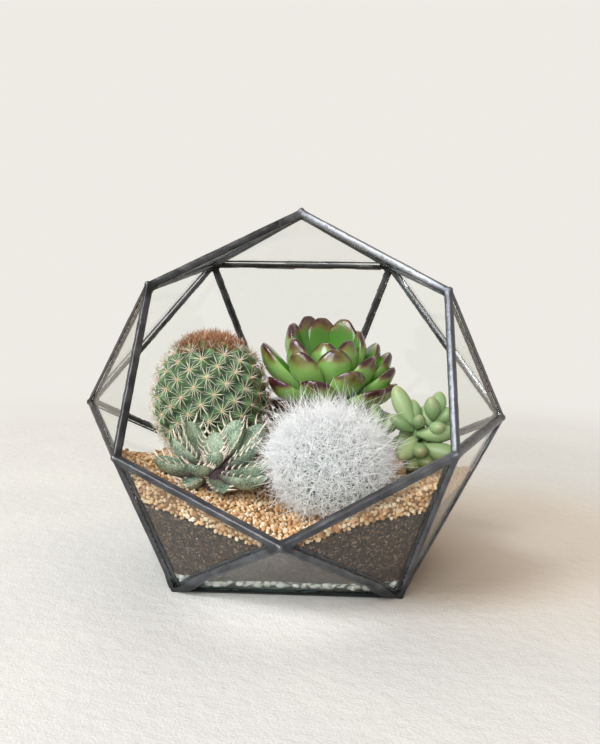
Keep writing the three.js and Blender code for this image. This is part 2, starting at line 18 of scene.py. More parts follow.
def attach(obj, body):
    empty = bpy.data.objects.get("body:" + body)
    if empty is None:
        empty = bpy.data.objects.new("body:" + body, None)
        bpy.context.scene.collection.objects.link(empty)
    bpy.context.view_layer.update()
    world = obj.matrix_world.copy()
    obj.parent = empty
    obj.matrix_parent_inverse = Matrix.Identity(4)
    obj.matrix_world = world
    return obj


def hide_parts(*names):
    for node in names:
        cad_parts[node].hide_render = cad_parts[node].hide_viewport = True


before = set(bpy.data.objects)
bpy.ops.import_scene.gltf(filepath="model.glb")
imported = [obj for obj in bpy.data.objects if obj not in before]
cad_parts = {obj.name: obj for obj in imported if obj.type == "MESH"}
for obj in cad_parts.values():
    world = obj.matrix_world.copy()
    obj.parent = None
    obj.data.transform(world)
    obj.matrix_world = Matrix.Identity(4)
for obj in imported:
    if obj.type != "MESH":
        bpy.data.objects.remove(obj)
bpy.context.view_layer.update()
MM = 0.001

# %% [markdown]
# ## Small helpers for meshes
#
# An operator acts on whatever is selected, so each helper deselects everything before it selects
# its own piece. Points are read and written as one array, which is quick for large meshes.

# %% Mesh helpers
def pick(*pieces):
    """Selects only these objects and makes the first one active."""
    bpy.ops.object.select_all(action="DESELECT")
    for piece in pieces:
        piece.select_set(True)
    bpy.context.view_layer.objects.active = pieces[0]


def points_of(piece):
    flat = np.empty(len(piece.data.vertices) * 3)
    piece.data.vertices.foreach_get("co", flat)
    return flat.reshape(-1, 3)


def set_points(piece, points):
    piece.data.vertices.foreach_set("co", np.ascontiguousarray(points, dtype=float).ravel())
    piece.data.update()


def note(piece, name, values):
    """Stores one number for each point of a mesh, for its material to read."""
    layer = piece.data.attributes.new(name, "FLOAT", "POINT")
    layer.data.foreach_set("value", np.asarray(values, dtype=np.float32))


def finish_with(piece, kind, **settings):
    """Adds a modifier and applies it."""
    pick(piece)
    modifier = piece.modifiers.new(kind.title(), kind)
    for key, value in settings.items():
        setattr(modifier, key, value)
    bpy.ops.object.modifier_apply(modifier=modifier.name)


def copy_of(*names):
    """Copies of solids, joined into one mesh with shared points. The solids stay as they are."""
    copies = []
    for name in names:
        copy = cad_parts[name].copy()
        copy.data = copy.data.copy()
        copy.parent = None
        for key in list(copy.keys()):
            del copy[key]
        bpy.context.collection.objects.link(copy)
        copies.append(copy)
    pick(*copies)
    if len(copies) > 1:
        bpy.ops.object.join()
    bpy.ops.object.mode_set(mode="EDIT")
    bpy.ops.mesh.select_all(action="SELECT")
    bpy.ops.mesh.remove_doubles(threshold=1e-6)
    bpy.ops.object.mode_set(mode="OBJECT")
    joined = bpy.context.object
    joined.data.materials.clear()
    return joined


def keep(piece, name, slot, material, *replaced):
    """Names a finished piece, paints it, and puts it in the place of the solids that it stands for."""
    piece.name = piece.data.name = name
    piece.data.materials.clear()
    piece.data.materials.append(material)
    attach(piece, "root")
    if replaced:
        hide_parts(*replaced)
    piece.data.calc_loop_triangles()
    print(name, "has", len(piece.data.loop_triangles), "triangles")
    return piece


# %% [markdown]
# ## Shader maths
#
# A material is a network of nodes, and most of those are plain sums. The class below wraps the
# output of a node, so that a sum of two outputs is written as in any other code.

# %% Shader sums
class Mark:
    """An output of a node, with the sums that the finishes need."""

    def __init__(self, finish, output):
        self.finish = finish
        self.output = output

    def sum(self, operation, first, second):
        return self.finish.node("Math", {"operation": operation}, {0: first, 1: second})

    def __add__(self, other):
        return self.sum("ADD", self, other)

    __radd__ = __add__

    def __sub__(self, other):
        return self.sum("SUBTRACT", self, other)

    def __rsub__(self, other):
        return self.sum("SUBTRACT", other, self)

    def __mul__(self, other):
        return self.sum("MULTIPLY", self, other)

    __rmul__ = __mul__

    def __pow__(self, other):
        return self.sum("POWER", self, other)

    def larger(self, other):
        return self.sum("MAXIMUM", self, other)

    def rising(self, low, high):
        """0 below low and 1 above high, with a smooth way up between them."""
        sockets = {"Value": self, "From Min": low, "From Max": high}
        return self.finish.node("MapRange", {"interpolation_type": "SMOOTHSTEP"}, sockets)


# %% [markdown]
# ## Materials
#
# A finish is built as a tree of nodes, from its patterns at one end to its surface at the other. In
# Blender's own editor each node is placed and wired by hand. Here one method adds a node, sets it
# and wires it, and short methods on top of it name the patterns that the terrarium needs. A colour
# is written as six hex digits, as a paint maker's chart has it, and turned into light here.

# %% Shader helpers
def shade(code):
    """A colour from six hex digits, as light."""
    levels = [int(code[i : i + 2], 16) / 255 for i in (0, 2, 4)]
    light = [v / 12.92 if v <= 0.04045 else ((v + 0.055) / 1.055) ** 2.4 for v in levels]
    return (*light, 1.0)


class Finish:
    """A material while it is being made."""

    def __init__(self, name):
        self.material = bpy.data.materials.new(name)
        self.material.use_nodes = True
        self.tree = self.material.node_tree
        self.tree.nodes.clear()

    def node(self, kind, settings=None, sockets=None, output=0):
        """Adds a node: its settings are set first, and then its sockets, from values or marks."""
        made = self.tree.nodes.new("ShaderNode" + kind)
        for key, value in (settings or {}).items():
            if key == "stops":
                while len(made.color_ramp.elements) < len(value):
                    made.color_ramp.elements.new(0.5)
                for element, (place, code) in zip(made.color_ramp.elements, value):
                    element.position = place
                    element.color = shade(code)
            else:
                setattr(made, key, value)
        for key, value in (sockets or {}).items():
            socket = made.inputs[key]
            if isinstance(value, Mark):
                self.tree.links.new(value.output, socket)
            else:
                socket.default_value = shade(value) if isinstance(value, str) else value
        return Mark(self, made.outputs[output]) if made.outputs else None

    def place(self):
        """Where a point lies on the object, in metres."""
        return self.node("TexCoord", output="Object")

    def part(self, number):
        """One of the three numbers that say where a point lies."""
        return self.node("SeparateXYZ", sockets={0: self.place()}, output=number)

    def from_point(self, spot):
        """How far a point lies from a spot."""
        return self.node("VectorMath", {"operation": "DISTANCE"}, {0: self.place(), 1: spot}, output=1)

    def noted(self, name):
        """A number that was stored at the points of the mesh."""
        return self.node("Attribute", {"attribute_name": name}, output="Fac")

    def noise(self, scale, detail):
        return self.node("TexNoise", sockets={"Vector": self.place(), "Scale": scale, "Detail": detail})

    def cells(self, scale, output="Distance"):
        return self.node("TexVoronoi", sockets={"Vector": self.place(), "Scale": scale}, output=output)

    def blend(self, share, first, second):
        """A colour between two others."""
        return self.node("Mix", {"data_type": "RGBA"}, {0: share, 6: first, 7: second}, output=2)

    def layered(self, colour, *layers):
        """A colour with others laid over it in turn: each layer is a share and a colour."""
        for share, over in layers:
            colour = self.blend(share, colour, over)
        return colour

    def ramp(self, share, *stops):
        """A colour that runs through the stops, each one a place from 0 to 1 and a colour."""
        return self.node("ValToRGB", {"stops": stops}, {0: share})

    def relief(self, height, depth, strength=1.0):
        return self.node("Bump", sockets={"Height": height, "Distance": depth, "Strength": strength})

    def done(self, shader):
        self.node("OutputMaterial", sockets={"Surface": shader})
        return self.material

    def skin(self, **sockets):
        """One Principled surface. Spaces in the names of its sockets are written as underscores."""
        named = {key.replace("_", " "): value for key, value in sockets.items()}
        return self.done(self.node("BsdfPrincipled", sockets=named))


# %% [markdown]
# ## Camera
#
# The camera stands a little above the case and to its right, about half a metre away, and looks
# down on it slightly. It is turned by three angles, one after the other: round the upright, down,
# and round its own line of sight.

# %% Camera
CAMERA_PLACE = Vector((20.5, -419.6, 147.3)) * MM
CAMERA_TURN = 0.0436
CAMERA_DIP = 0.1275
CAMERA_ROLL = 0.021
LENS = 40.16

camera_data = bpy.data.cameras.new("camera")
camera_data.lens = LENS
camera_data.sensor_width = 36
camera_data.clip_start = 0.01
camera = bpy.data.objects.new("camera", camera_data)
bpy.context.collection.objects.link(camera)
level = Matrix.Rotation(math.pi / 2 - CAMERA_DIP, 4, "X")
turned = Matrix.Rotation(CAMERA_TURN, 4, "Z") @ level @ Matrix.Rotation(CAMERA_ROLL, 4, "Z")
camera.matrix_world = Matrix.Translation(CAMERA_PLACE) @ turned
bpy.context.scene.camera = camera
print("camera looks along", (turned.to_3x3() @ Vector((0, 0, -1)))[:])

# %% [markdown]
# ## Floor
#
# The terrarium stands on a pale plastered board, and the board runs into a wall of nearly the same
# tone. A bent sheet of paper would do it, but its curve would show a horizon from the side. So the
# floor is a wide flat disc that fades into the tone of the wall with distance. It is a stage, and
# not part of the object. The warm light beside the case, the shade close to it and the bright spot
# in front of it are soft round patches of colour.

# %% Floor
FLOOR_RADIUS = 3.0
BACKDROP = shade("eeebe5")
WARM_SPOT = (0.12, 0.03, 0)
SHADED_SPOT = (0.075, -0.02, 0)
BRIGHT_SPOT = (0, -0.07, 0)
FADE = (0.27, 0.6)

bpy.ops.object.select_all(action="DESELECT")
bpy.ops.mesh.primitive_circle_add(vertices=96, radius=FLOOR_RADIUS, fill_type="NGON")
floor = bpy.context.object
floor.name = "floor"
plaster = Finish("floor_plaster")
grit = plaster.noise(900, 4)
patches = plaster.noise(14, 3)
tone = plaster.layered(
    "cfd0cf",
    (patches.rising(0.35, 0.7), "d4d5d3"),
    (1 - plaster.from_point(WARM_SPOT).rising(0.04, 0.17), "d3cac0"),
    ((1 - plaster.from_point(SHADED_SPOT).rising(0.02, 0.07)) * 0.8, "c2b3a2"),
    ((1 - plaster.from_point(BRIGHT_SPOT).rising(0.015, 0.06)) * 0.9, "fbfaf7"),
    (grit.rising(0.45, 0.75) * 0.25, "bfbbb3"),
)
near_floor = plaster.node(
    "BsdfPrincipled",
    sockets={
        "Base Color": tone,
        "Roughness": 0.9,
        "Normal": plaster.relief(grit + 2.0 * plaster.noise(160, 3), 0.0005, 0.65),
    },
)
far_floor = plaster.node("Emission", sockets={"Color": BACKDROP})
away = plaster.from_point((0, 0, 0)).rising(*FADE)
plaster.done(plaster.node("MixShader", sockets={0: away, 1: near_floor, 2: far_floor}))
floor.data.materials.append(plaster.material)
print("floor reaches", FLOOR_RADIUS, "m from the middle")

# %% [markdown]
# ## Surroundings
#
# A room throws some light back from all its walls. An even glow round the whole scene does the
# same, and here it is warm, so that it colours the shadows. A ray that reaches the eye straight, or
# through the glass, shows the pale wall instead, so the wall stays even behind the panes.

# %% Surroundings
AMBIENT = (1.0, 0.86, 0.71, 1.0)
AMBIENT_STRENGTH = 0.56

world = bpy.data.worlds.new("surroundings")
world.use_nodes = True
bpy.context.scene.world = world
sky = world.node_tree
sky.nodes.clear()
light_path = sky.nodes.new("ShaderNodeLightPath")
near = sky.nodes.new("ShaderNodeBackground")
near.inputs["Color"].default_value = AMBIENT
near.inputs["Strength"].default_value = AMBIENT_STRENGTH
far = sky.nodes.new("ShaderNodeBackground")
far.inputs["Color"].default_value = BACKDROP
either = sky.nodes.new("ShaderNodeMixShader")
shown = sky.nodes.new("ShaderNodeOutputWorld")
straight = sky.nodes.new("ShaderNodeMath")
straight.operation = "MAXIMUM"
sky.links.new(light_path.outputs["Is Camera Ray"], straight.inputs[0])
sky.links.new(light_path.outputs["Is Transmission Ray"], straight.inputs[1])
sky.links.new(straight.outputs[0], either.inputs[0])
sky.links.new(near.outputs[0], either.inputs[1])
sky.links.new(far.outputs[0], either.inputs[2])
sky.links.new(either.outputs[0], shown.inputs["Surface"])
print("surroundings glow at", AMBIENT_STRENGTH)

# %% [markdown]
# ## Lamps
#
# One large lamp is the window on the left, a second one in front fills the shade under the mouth,
# and a weak one behind lifts the far edges. A sun lamp would need no size or distance, but it would
# draw hard shadows, and these are square lamps about a metre across because large ones draw soft
# ones.

# %% Lamps
LIT_SPOT = Vector((0, 0, 0.07))


def lamp(name, place, size, power, tint):
    """A square soft lamp that faces the middle of the terrarium."""
    data = bpy.data.lights.new(name, "AREA")
    data.shape = "SQUARE"
    data.size = size
    data.energy = power
    data.color = tint
    made = bpy.data.objects.new(name, data)
    bpy.context.collection.objects.link(made)
    toward = LIT_SPOT - Vector(place)
    made.matrix_world = Matrix.Translation(place) @ toward.to_track_quat("-Z", "Y").to_matrix().to_4x4()
    return made


lamp("key_lamp", place=(-1.15, -0.8, 1.35), size=0.8, power=26, tint=(0.93, 0.97, 1.0))
lamp("front_lamp", place=(-0.5, -1.9, 1.0), size=1.2, power=27, tint=(0.94, 0.97, 1.0))
lamp("rear_lamp", place=(-0.3, 1.2, 1.3), size=1.0, power=6, tint=(1.0, 0.99, 0.97))
bpy.context.scene.view_settings.view_transform = "Standard"

# %% [markdown]
# ## Forms that are copied many times
#
# A form is made once, by an operator. Its points are then laid out again for every copy and bent
# there, and all the copies become one mesh. Threads, such as spines and hairs, are worked out
# directly: three-sided, thinner towards the tip, and curved.

# %% Repeated forms
class Form:
    """A closed starting shape, kept as points and faces."""

    def __init__(self, add, **settings):
        bpy.ops.object.select_all(action="DESELECT")
        add(**settings)
        made = bpy.context.object
        self.points = points_of(made)
        self.faces = [tuple(face.vertices) for face in made.data.polygons]
        bpy.data.objects.remove(made)


def mesh_of(name, points, faces):
    mesh = bpy.data.meshes.new(name)
    mesh.from_pydata(np.asarray(points).tolist(), [], faces)
    mesh.shade_smooth()
    made = bpy.data.objects.new(name, mesh)
    bpy.context.collection.objects.link(made)
    return made


def many(name, faces, clouds):
    """One mesh of many copies: clouds holds the points of each copy."""
    size = len(clouds[0])
    shifted = [tuple(v + copy * size for v in face) for copy in range(len(clouds)) for face in faces]
    return mesh_of(name, np.concatenate(clouds), shifted)


def unit(vectors):
    return vectors / np.linalg.norm(vectors, axis=-1, keepdims=True)


SIDES_OF_THREAD = 3
# Added to every bend, so that a straight thread has a side too.
SLIGHT_BEND = [0.011, 0.007, 0.013]


def points_of_thread(steps):
    return SIDES_OF_THREAD * steps + 1


def threads(name, roots, ways, bends, lengths, widths, steps, taper=0.7):
    """Threads that leave their roots along their ways and curve by their bends."""
    ways = unit(ways)
    side = unit(np.cross(ways, bends + SLIGHT_BEND))
    over = np.cross(ways, side)
    long = np.asarray(lengths)[:, None]
    half = np.asarray(widths)[:, None] / 2
    points = []
    for step in range(steps):
        t = step / steps
        centre = roots + long * (t * ways + t * t * bends)
        for corner in range(SIDES_OF_THREAD):
            spin = 2 * math.pi * corner / SIDES_OF_THREAD
            points.append(centre + half * (1 - taper * t) * (math.cos(spin) * side + math.sin(spin) * over))
    points.append(roots + long * (ways + bends))
    clouds = np.stack(points, axis=1)
    faces = [(2, 1, 0)]
    beside = [(i, (i + 1) % SIDES_OF_THREAD) for i in range(SIDES_OF_THREAD)]
    for step in range(steps - 1):
        low = step * SIDES_OF_THREAD
        high = low + SIDES_OF_THREAD
        faces += [(low + i, low + j, high + j, high + i) for i, j in beside]
    low = (steps - 1) * SIDES_OF_THREAD
    faces += [(low + i, low + j, low + SIDES_OF_THREAD) for i, j in beside]
    made = many(name, faces, list(clouds))
    along = np.repeat(np.linspace(0, 1, steps + 1), [SIDES_OF_THREAD] * steps + [1])
    note(made, "along", np.tile(along, len(roots)))
    return made


def join(*pieces):
    pick(*pieces)
    bpy.ops.object.join()
    return bpy.context.object


# %% [markdown]
# ## Corners of the case
#
# The case is a six-sided band of triangles on a six-sided cone, and it lies on one side of the
# cone. Its thirteen corners could be typed in, but they follow from two rings and a point, so they
# are worked out. Each one is then moved by the few millimetres by which it was soldered off its
# place.

# %% Corners of the case
# The radii of the two rings, the depth of the band and the height of the cone, in metres.
BELT_R = 0.103
MOUTH_R = 0.083
BAND = 0.051
CONE = 0.132
APEX = Vector((0.0005, 0.0989, 0.0008))
BASE_RUN = BELT_R * math.cos(math.radians(30))
BASE_LENGTH = math.hypot(CONE, BASE_RUN)
MOUTH_OFFSETS = [(-0.5, 0, 0.5), (0, 0, 1), (0, 0, 0), (1, 0, 2), (2, 0, -0.5), (-2, 0, -5)]
BELT_OFFSETS = [(0, 0, 0), (0, 0, 0), (-2.2, 0, 1), (1.5, 0, 0), (-1, 0, 2), (1, -2, 0)]


def corner(radius, along, degrees, offset):
    """A corner on a ring: along is how far the ring stands from the point of the cone."""
    down = radius * math.cos(math.radians(degrees))
    across = radius * math.sin(math.radians(degrees))
    y = -(down * BASE_RUN + along * CONE) / BASE_LENGTH
    z = (along * BASE_RUN - down * CONE) / BASE_LENGTH
    return APEX + Vector((across, y, z)) + Vector(offset) * MM


mouth = [corner(MOUTH_R, BAND + CONE, 60 * i, offset) for i, offset in enumerate(MOUTH_OFFSETS)]
belt = [corner(BELT_R, CONE, 30 + 60 * i, offset) for i, offset in enumerate(BELT_OFFSETS)]
corners = [*mouth, *belt, APEX]
print("corners of the case:", len(corners))

# %% [markdown]
# ## Solder
#
# On the real case, copper foil wraps the edge of every pane and one run of solder covers it all.
# Bevelled bars would leave a join at each corner, and solder has none. So the seams' solids are
# copied, swollen until their mitred ends meet, and a blob is set on every corner. A voxel remesh
# melts all this into one skin, which is then smoothed and left slightly uneven, as solder drawn by
# hand is. The strip along the foot is pressed flat, where the case rests.

# %% Solder skin
SWELL = 0.0001
BLOB = 0.0016
VOXEL = 0.00055
RIPPLE = 0.0003
RIPPLE_LENGTH = 0.007
CAGE_FACES = 130000
# The strip along the foot: where it lies, how high it reaches and the share that is pressed away.
STRIP_FRONT = -0.059
STRIP_TOP = 0.009
STRIP_PRESSED = 0.45

seams = [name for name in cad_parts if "_seam_" in name]
cage = copy_of(*seams)
finish_with(cage, "DISPLACE", strength=SWELL, mid_level=0)
blobs = []
for place in corners:
    bpy.ops.object.select_all(action="DESELECT")
    bpy.ops.mesh.primitive_ico_sphere_add(subdivisions=3, radius=BLOB, location=place)
    blobs.append(bpy.context.object)
cage = join(cage, *blobs)
pick(cage)
bpy.ops.object.transform_apply(location=True, rotation=True, scale=True)
finish_with(cage, "REMESH", mode="VOXEL", voxel_size=VOXEL)
finish_with(cage, "SMOOTH", factor=0.5, iterations=2)
ripple = bpy.data.textures.new("ripple", "CLOUDS")
ripple.noise_scale = RIPPLE_LENGTH
finish_with(cage, "DISPLACE", texture=ripple, strength=RIPPLE, mid_level=0.5, texture_coords="LOCAL")
cage.data.calc_loop_triangles()
ratio = min(1.0, CAGE_FACES / len(cage.data.loop_triangles))
finish_with(cage, "DECIMATE", ratio=ratio)
points = points_of(cage)
front = np.clip((STRIP_FRONT - points[:, 1]) / 0.002, 0, 1)
low = np.clip((STRIP_TOP - points[:, 2]) / 0.005, 0, 1)
points[:, 2] = np.maximum(points[:, 2] * (1 - STRIP_PRESSED * front * low), 0)
set_points(cage, points)
cage.data.shade_smooth()
print("solder skin of", len(seams), "seams and", len(blobs), "blobs:", len(points), "points")

# %% [markdown]
# Hands rub the dark finish off the ridges of the solder and leave it in the hollows, and the ridges
# catch the light as well, so they get a painted highlight that stands for both. A pattern can't
# tell ridges from hollows, but the mesh can: a number for each point says how far it stands out
# from its neighbours.

# %% Ridges of the solder
RIDGE_ROUNDS = 5
# This share of the points, in hundredths, stands out less than what counts as a full ridge.
RIDGE_FULL = 98


def ridges(piece, rounds):
    """How far each point stands out from its neighbours, evened out over a few rounds."""
    points = points_of(piece)
    ends = np.empty(len(piece.data.edges) * 2, dtype=np.int32)
    piece.data.edges.foreach_get("vertices", ends)
    a, b = ends.reshape(-1, 2).T
    count = np.bincount(ends, minlength=len(points))

    def around(values):
        return (np.bincount(a, values[b], len(values)) + np.bincount(b, values[a], len(values))) / count

    normals = np.empty(len(points) * 3)
    piece.data.vertices.foreach_get("normal", normals)
    middle = np.stack([around(points[:, k]) for k in range(3)], axis=1)
    height = ((points - middle) * normals.reshape(-1, 3)).sum(axis=1)
    for _ in range(rounds):
        height = (height + around(height)) / 2
    return height


height = ridges(cage, RIDGE_ROUNDS)
note(cage, "ridge", np.clip(height / np.percentile(height, RIDGE_FULL), 0, 1))
print("highest ridge", height.max(), "m")

# %% [markdown]
# The solder was patinated black and then handled, which left it paler in worn patches and
# streaks. Light and shade are painted in as well: painted shade darkens the left bars above the
# belt, and a painted reflection of the window makes the right ones pale, most of all near the top.
# The strip along the foot is darkened with painted shade to nearly black, and it is dull. One
# material covers it all, with soft masks for the places, because a material for each bar would
# break at the corners.

# %% Solder finish
solder = Finish("patina_solder")
worn = solder.noise(90, 5)
streak = solder.noise(420, 3)
rightward = solder.part(0).rising(-0.01, 0.02)
upward = solder.part(2).rising(0.055, 0.075)
forward = 1 - solder.part(1).rising(-0.006, 0.004)
topmost = solder.part(2).rising(0.137, 0.143)
foot = 1 - solder.part(2).rising(0.005, 0.01)
patina_and_painted_light = solder.layered(
    "3d3e42",
    (worn.rising(0.35, 0.7), "505257"),
    # Painted shade on the left bars above the belt.
    ((1 - rightward) * upward * 0.6, "252526"),
    # Painted reflection of the window on the right bars, strongest near the top.
    (rightward * upward * forward * 0.45, "767a82"),
    (rightward * forward * topmost * 0.6, "a6a9ae"),
    (streak.rising(0.6, 0.8) * 0.2, "8b8e96"),
    # Painted highlight along the ridges, which also stands for dark finish rubbed off there.
    (solder.noted("ridge").rising(0.35, 1.0) * 0.3, "a5a8ae"),
    # Painted shade: the strip along the foot is darkened to nearly black.
    (foot * 0.9, "151b1c"),
)
solder.skin(
    Base_Color=patina_and_painted_light,
    Metallic=0.85 - 0.7 * foot,
    Roughness=0.3 + 0.15 * worn + 0.25 * foot,
    Normal=solder.relief(worn + 0.4 * streak, 0.0006, 0.5),
)
keep(cage, "solder_cage", "patina_solder", solder.material, *seams)

# %% [markdown]
# ## Glass
#
# The panes are flat float glass, so their solids are the finished shape and only need a material. A
# plain glass material would cast a grey shadow on everything behind it. Here lamps shine straight
# through, so that the plants are lit as they would be in a room, and the eye still sees the glass
# bend and mirror light. The edge that the base pane shows along the front is dark green, as the
# edge of thick glass is.

# %% Glass
RIM_TOP = (0.0035, 0.0055)
RIM_BACK = (-0.062, -0.057)

clear = Finish("clear_glass")
rim = (1 - clear.part(2).rising(*RIM_TOP)) * (1 - clear.part(1).rising(*RIM_BACK))
body = clear.node(
    "BsdfPrincipled",
    sockets={
        "Base Color": clear.blend(rim, "fcfefc", "1b2823"),
        "Roughness": 0.0,
        "IOR": 1.38,
        "Transmission Weight": 1.0,
    },
)
passing = clear.node("BsdfTransparent", sockets={"Color": "fcfdfc"})
lamp_ray = clear.node("LightPath", output="Is Shadow Ray")
soft_ray = clear.node("LightPath", output="Is Diffuse Ray")
clear.done(clear.node("MixShader", sockets={0: lamp_ray.larger(soft_ray), 1: body, 2: passing}))
panes = [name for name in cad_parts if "_pane" in name]
for name in panes:
    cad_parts[name].data.materials.clear()
    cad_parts[name].data.materials.append(clear.material)
print("panes:", len(panes))

# %% [markdown]
# ## Fill
#
# The fill is poured in layers, and one sees its grains on top and against the glass. A physics
# simulation could pour them, but most of them would end where nobody looks. So grains are strewn
# over the outer faces of the stones and the grit alone, no two closer than a set distance, and
# pressed in until they touch the face from inside. They lie flat against the glass and loose on
# top. What shows between them is the solid, drawn in a little and coloured dark as painted shade.

# %% Strewing
TRIES_PER_PLACE = 4.0


def strewn(node, spacing, wanted, seed):
    """Places on the faces of a solid, with their normals: wanted(normals) picks the faces."""
    rng = np.random.default_rng(seed)
    mesh = node.data
    mesh.calc_loop_triangles()
    turn = np.array(node.matrix_world.to_3x3())
    points = points_of(node) @ turn.T + np.array(node.matrix_world.translation)
    corners_of = points[np.array([t.vertices[:] for t in mesh.loop_triangles])]
    crossed = np.cross(corners_of[:, 1] - corners_of[:, 0], corners_of[:, 2] - corners_of[:, 0])
    area = np.linalg.norm(crossed, axis=1) / 2
    normals = crossed / (2 * area[:, None] + 1e-12)
    area = area * wanted(normals)
    tries = int(TRIES_PER_PLACE * area.sum() / spacing**2)
    chosen = rng.choice(len(area), tries, p=area / area.sum())
    a, b = rng.random((2, tries, 1))
    a, b = np.where(a + b > 1, 1 - a, a), np.where(a + b > 1, 1 - b, b)
    spots = corners_of[chosen]
    spots = spots[:, 0] + a * (spots[:, 1] - spots[:, 0]) + b * (spots[:, 2] - spots[:, 0])
    taken = {}
    kept = []
    for index, spot in enumerate(spots):
        cell = tuple(int(c) for c in np.floor(spot / spacing))
        around = [
            other
            for dx in (-1, 0, 1)
            for dy in (-1, 0, 1)
            for dz in (-1, 0, 1)
            for other in taken.get((cell[0] + dx, cell[1] + dy, cell[2] + dz), ())
        ]
        if all(sum((spot[k] - spots[other][k]) ** 2 for k in range(3)) > spacing**2 for other in around):
            taken.setdefault(cell, []).append(index)
            kept.append(index)
    return spots[kept], normals[chosen[kept]]


def turns(rng, count):
    """Random turns in space, as matrices."""
    basis, _ = np.linalg.qr(rng.normal(size=(count, 3, 3)))
    return basis * np.sign(np.linalg.det(basis))[:, None, None]


def grains(name, form, spots, normals, low, high, press, rough, seed):
    """Uneven grains at these spots, pressed in by a share of their size."""
    rng = np.random.default_rng(seed)
    count = len(spots)
    size = rng.uniform(low, high, (count, 1, 1)) / 2
    squash = rng.uniform(0.72, 1.2, (count, 1, 3))
    dents = rng.uniform(1 - rough, 1 + rough, (count, len(form.points), 1))
    clouds = form.points[None] * dents * squash * size @ turns(rng, count)
    clouds += (spots - normals * size[:, :, 0] * press)[:, None, :]
    made = many(name, form.faces, list(clouds))
    note(made, "tone", np.repeat(rng.random(count), len(form.points)))
    return made


def with_bed(made, node_name, drawn_in):
    """Adds the solid itself, drawn in a little, so that no gap shows between the grains."""
    bed = copy_of(node_name)
    finish_with(bed, "DISPLACE", strength=-drawn_in, mid_level=0)
    # Tone 0 is the darkest stop of each grain finish: painted shade in the gaps between the grains.
    note(bed, "tone", np.zeros(len(bed.data.vertices)))
    return join(made, bed)


pebble = Form(bpy.ops.mesh.primitive_ico_sphere_add, subdivisions=2, radius=1)
chip = Form(bpy.ops.mesh.primitive_ico_sphere_add, subdivisions=1, radius=1)
print("pebble faces", len(pebble.faces), "chip faces", len(chip.faces))

# %% [markdown]
# The drainage stones lie lowest, where spare water gathers. They are crushed marble, nearly white
# and blunt, and the largest grains, so each one is a ball with more faces than a chip of grit. Only
# the sides of the layer show, and so they alone are strewn.

# %% White stones
STONE_LOW = 0.0026
STONE_HIGH = 0.006
STONE_SPACING = 0.0031
STONE_BED_IN = 0.0016


def sideways(normals):
    """The sides of the layer, without its top and its foot."""
    return (normals[:, 2] < 0.6) & (normals[:, 2] > -0.9)


spots, normals = strewn(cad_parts["drainage_stones"], STONE_SPACING, sideways, seed=3)
stones = grains("stones", pebble, spots, normals, STONE_LOW, STONE_HIGH, press=0.9, rough=0.18, seed=4)
stones = with_bed(stones, "drainage_stones", STONE_BED_IN)
marble = Finish("drainage_stone")
marble.skin(
    # The first stop, for tone 0, is the bed's painted shade between the stones.
    Base_Color=marble.ramp(marble.noted("tone"), (0, "6f7471"), (0.04, "d5dbd6"), (1, "f4f6f2")),
    Roughness=0.75,
    Normal=marble.relief(marble.noise(700, 3), 0.0004, 0.6),
)
keep(stones, "white_stones", "drainage_stone", marble.material, "drainage_stones")

# %% [markdown]
# Dark potting soil is pressed flat by the glass, so its solid is the right shape already. Its
# crumbs are too fine to model. Clods, crumbs and a few pale flecks are all colour and relief on the
# solid, from noise for the clods and from small cells for the crumbs.

# %% Soil
earth = Finish("dark_soil")
clods = earth.noise(330, 5)
crumbs = earth.noise(1100, 3)
crumb_tones = earth.ramp(
    earth.cells(1250, "Color"),
    (0, "0d0705"), (0.5, "2c1e16"), (0.68, "5c4534"), (0.82, "8f765e"), (1, "c4b39c"),
)
flecks = 1 - earth.cells(380).rising(0.07, 0.16)
rare = earth.noise(60, 2).rising(0.5, 0.6)
dirt = earth.layered(
    "120a05",
    (clods.rising(0.4, 0.62), "392312"),
    (earth.noise(38, 3).rising(0.45, 0.7) * 0.35, "4e331d"),
    (0.5, crumb_tones),
    (flecks * rare, "d8cfc0"),
)
earth.skin(Base_Color=dirt, Roughness=0.95, Normal=earth.relief(clods + 0.5 * crumbs, 0.0014, 1.0))
soil_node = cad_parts["soil"]
soil_node.data.materials.clear()
soil_node.data.materials.append(earth.material)
print("soil keeps its", len(soil_node.data.polygons), "faces")

# %% [markdown]
# The grit is thousands of small chips, each with a tone of its own. Every chip is a ball of twenty
# flat faces, squashed and dented, because so many of anything finer would be too heavy. The grit is
# darker in patches and towards the back.

# %% Tan grit
GRIT_LOW = 0.0016
GRIT_HIGH = 0.0028
GRIT_SPACING = 0.00158
GRIT_BED_IN = 0.0011


def not_below(normals):
    """The top and the sides of the layer."""
    return normals[:, 2] > -0.82


spots, normals = strewn(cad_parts["gravel"], GRIT_SPACING, not_below, seed=7)
grit_chips = grains("grit", chip, spots, normals, GRIT_LOW, GRIT_HIGH, press=0.75, rough=0.22, seed=8)
grit_chips.data.shade_flat()
grit_chips = with_bed(grit_chips, "gravel", GRIT_BED_IN)
tan = Finish("tan_gravel")
chip_tones = tan.ramp(
    tan.noted("tone"),
    # The first stop, for tone 0, is the bed's painted shade between the chips.
    (0, "7d5a36"), (0.05, "b98858"), (0.3, "d6aa7b"), (0.7, "e9cda4"), (1, "f6e9d2"),
)
darker_grit = (tan.noise(45, 2).rising(0.45, 0.65) + tan.part(1).rising(-0.045, 0.02)) * 0.3
tan.skin(
    Base_Color=tan.blend(darker_grit, chip_tones, "8c6843"),
    Roughness=0.85,
    Normal=tan.relief(tan.noise(900, 3), 0.0004, 0.5),
)
keep(grit_chips, "tan_grit", "tan_gravel", tan.material, "gravel")

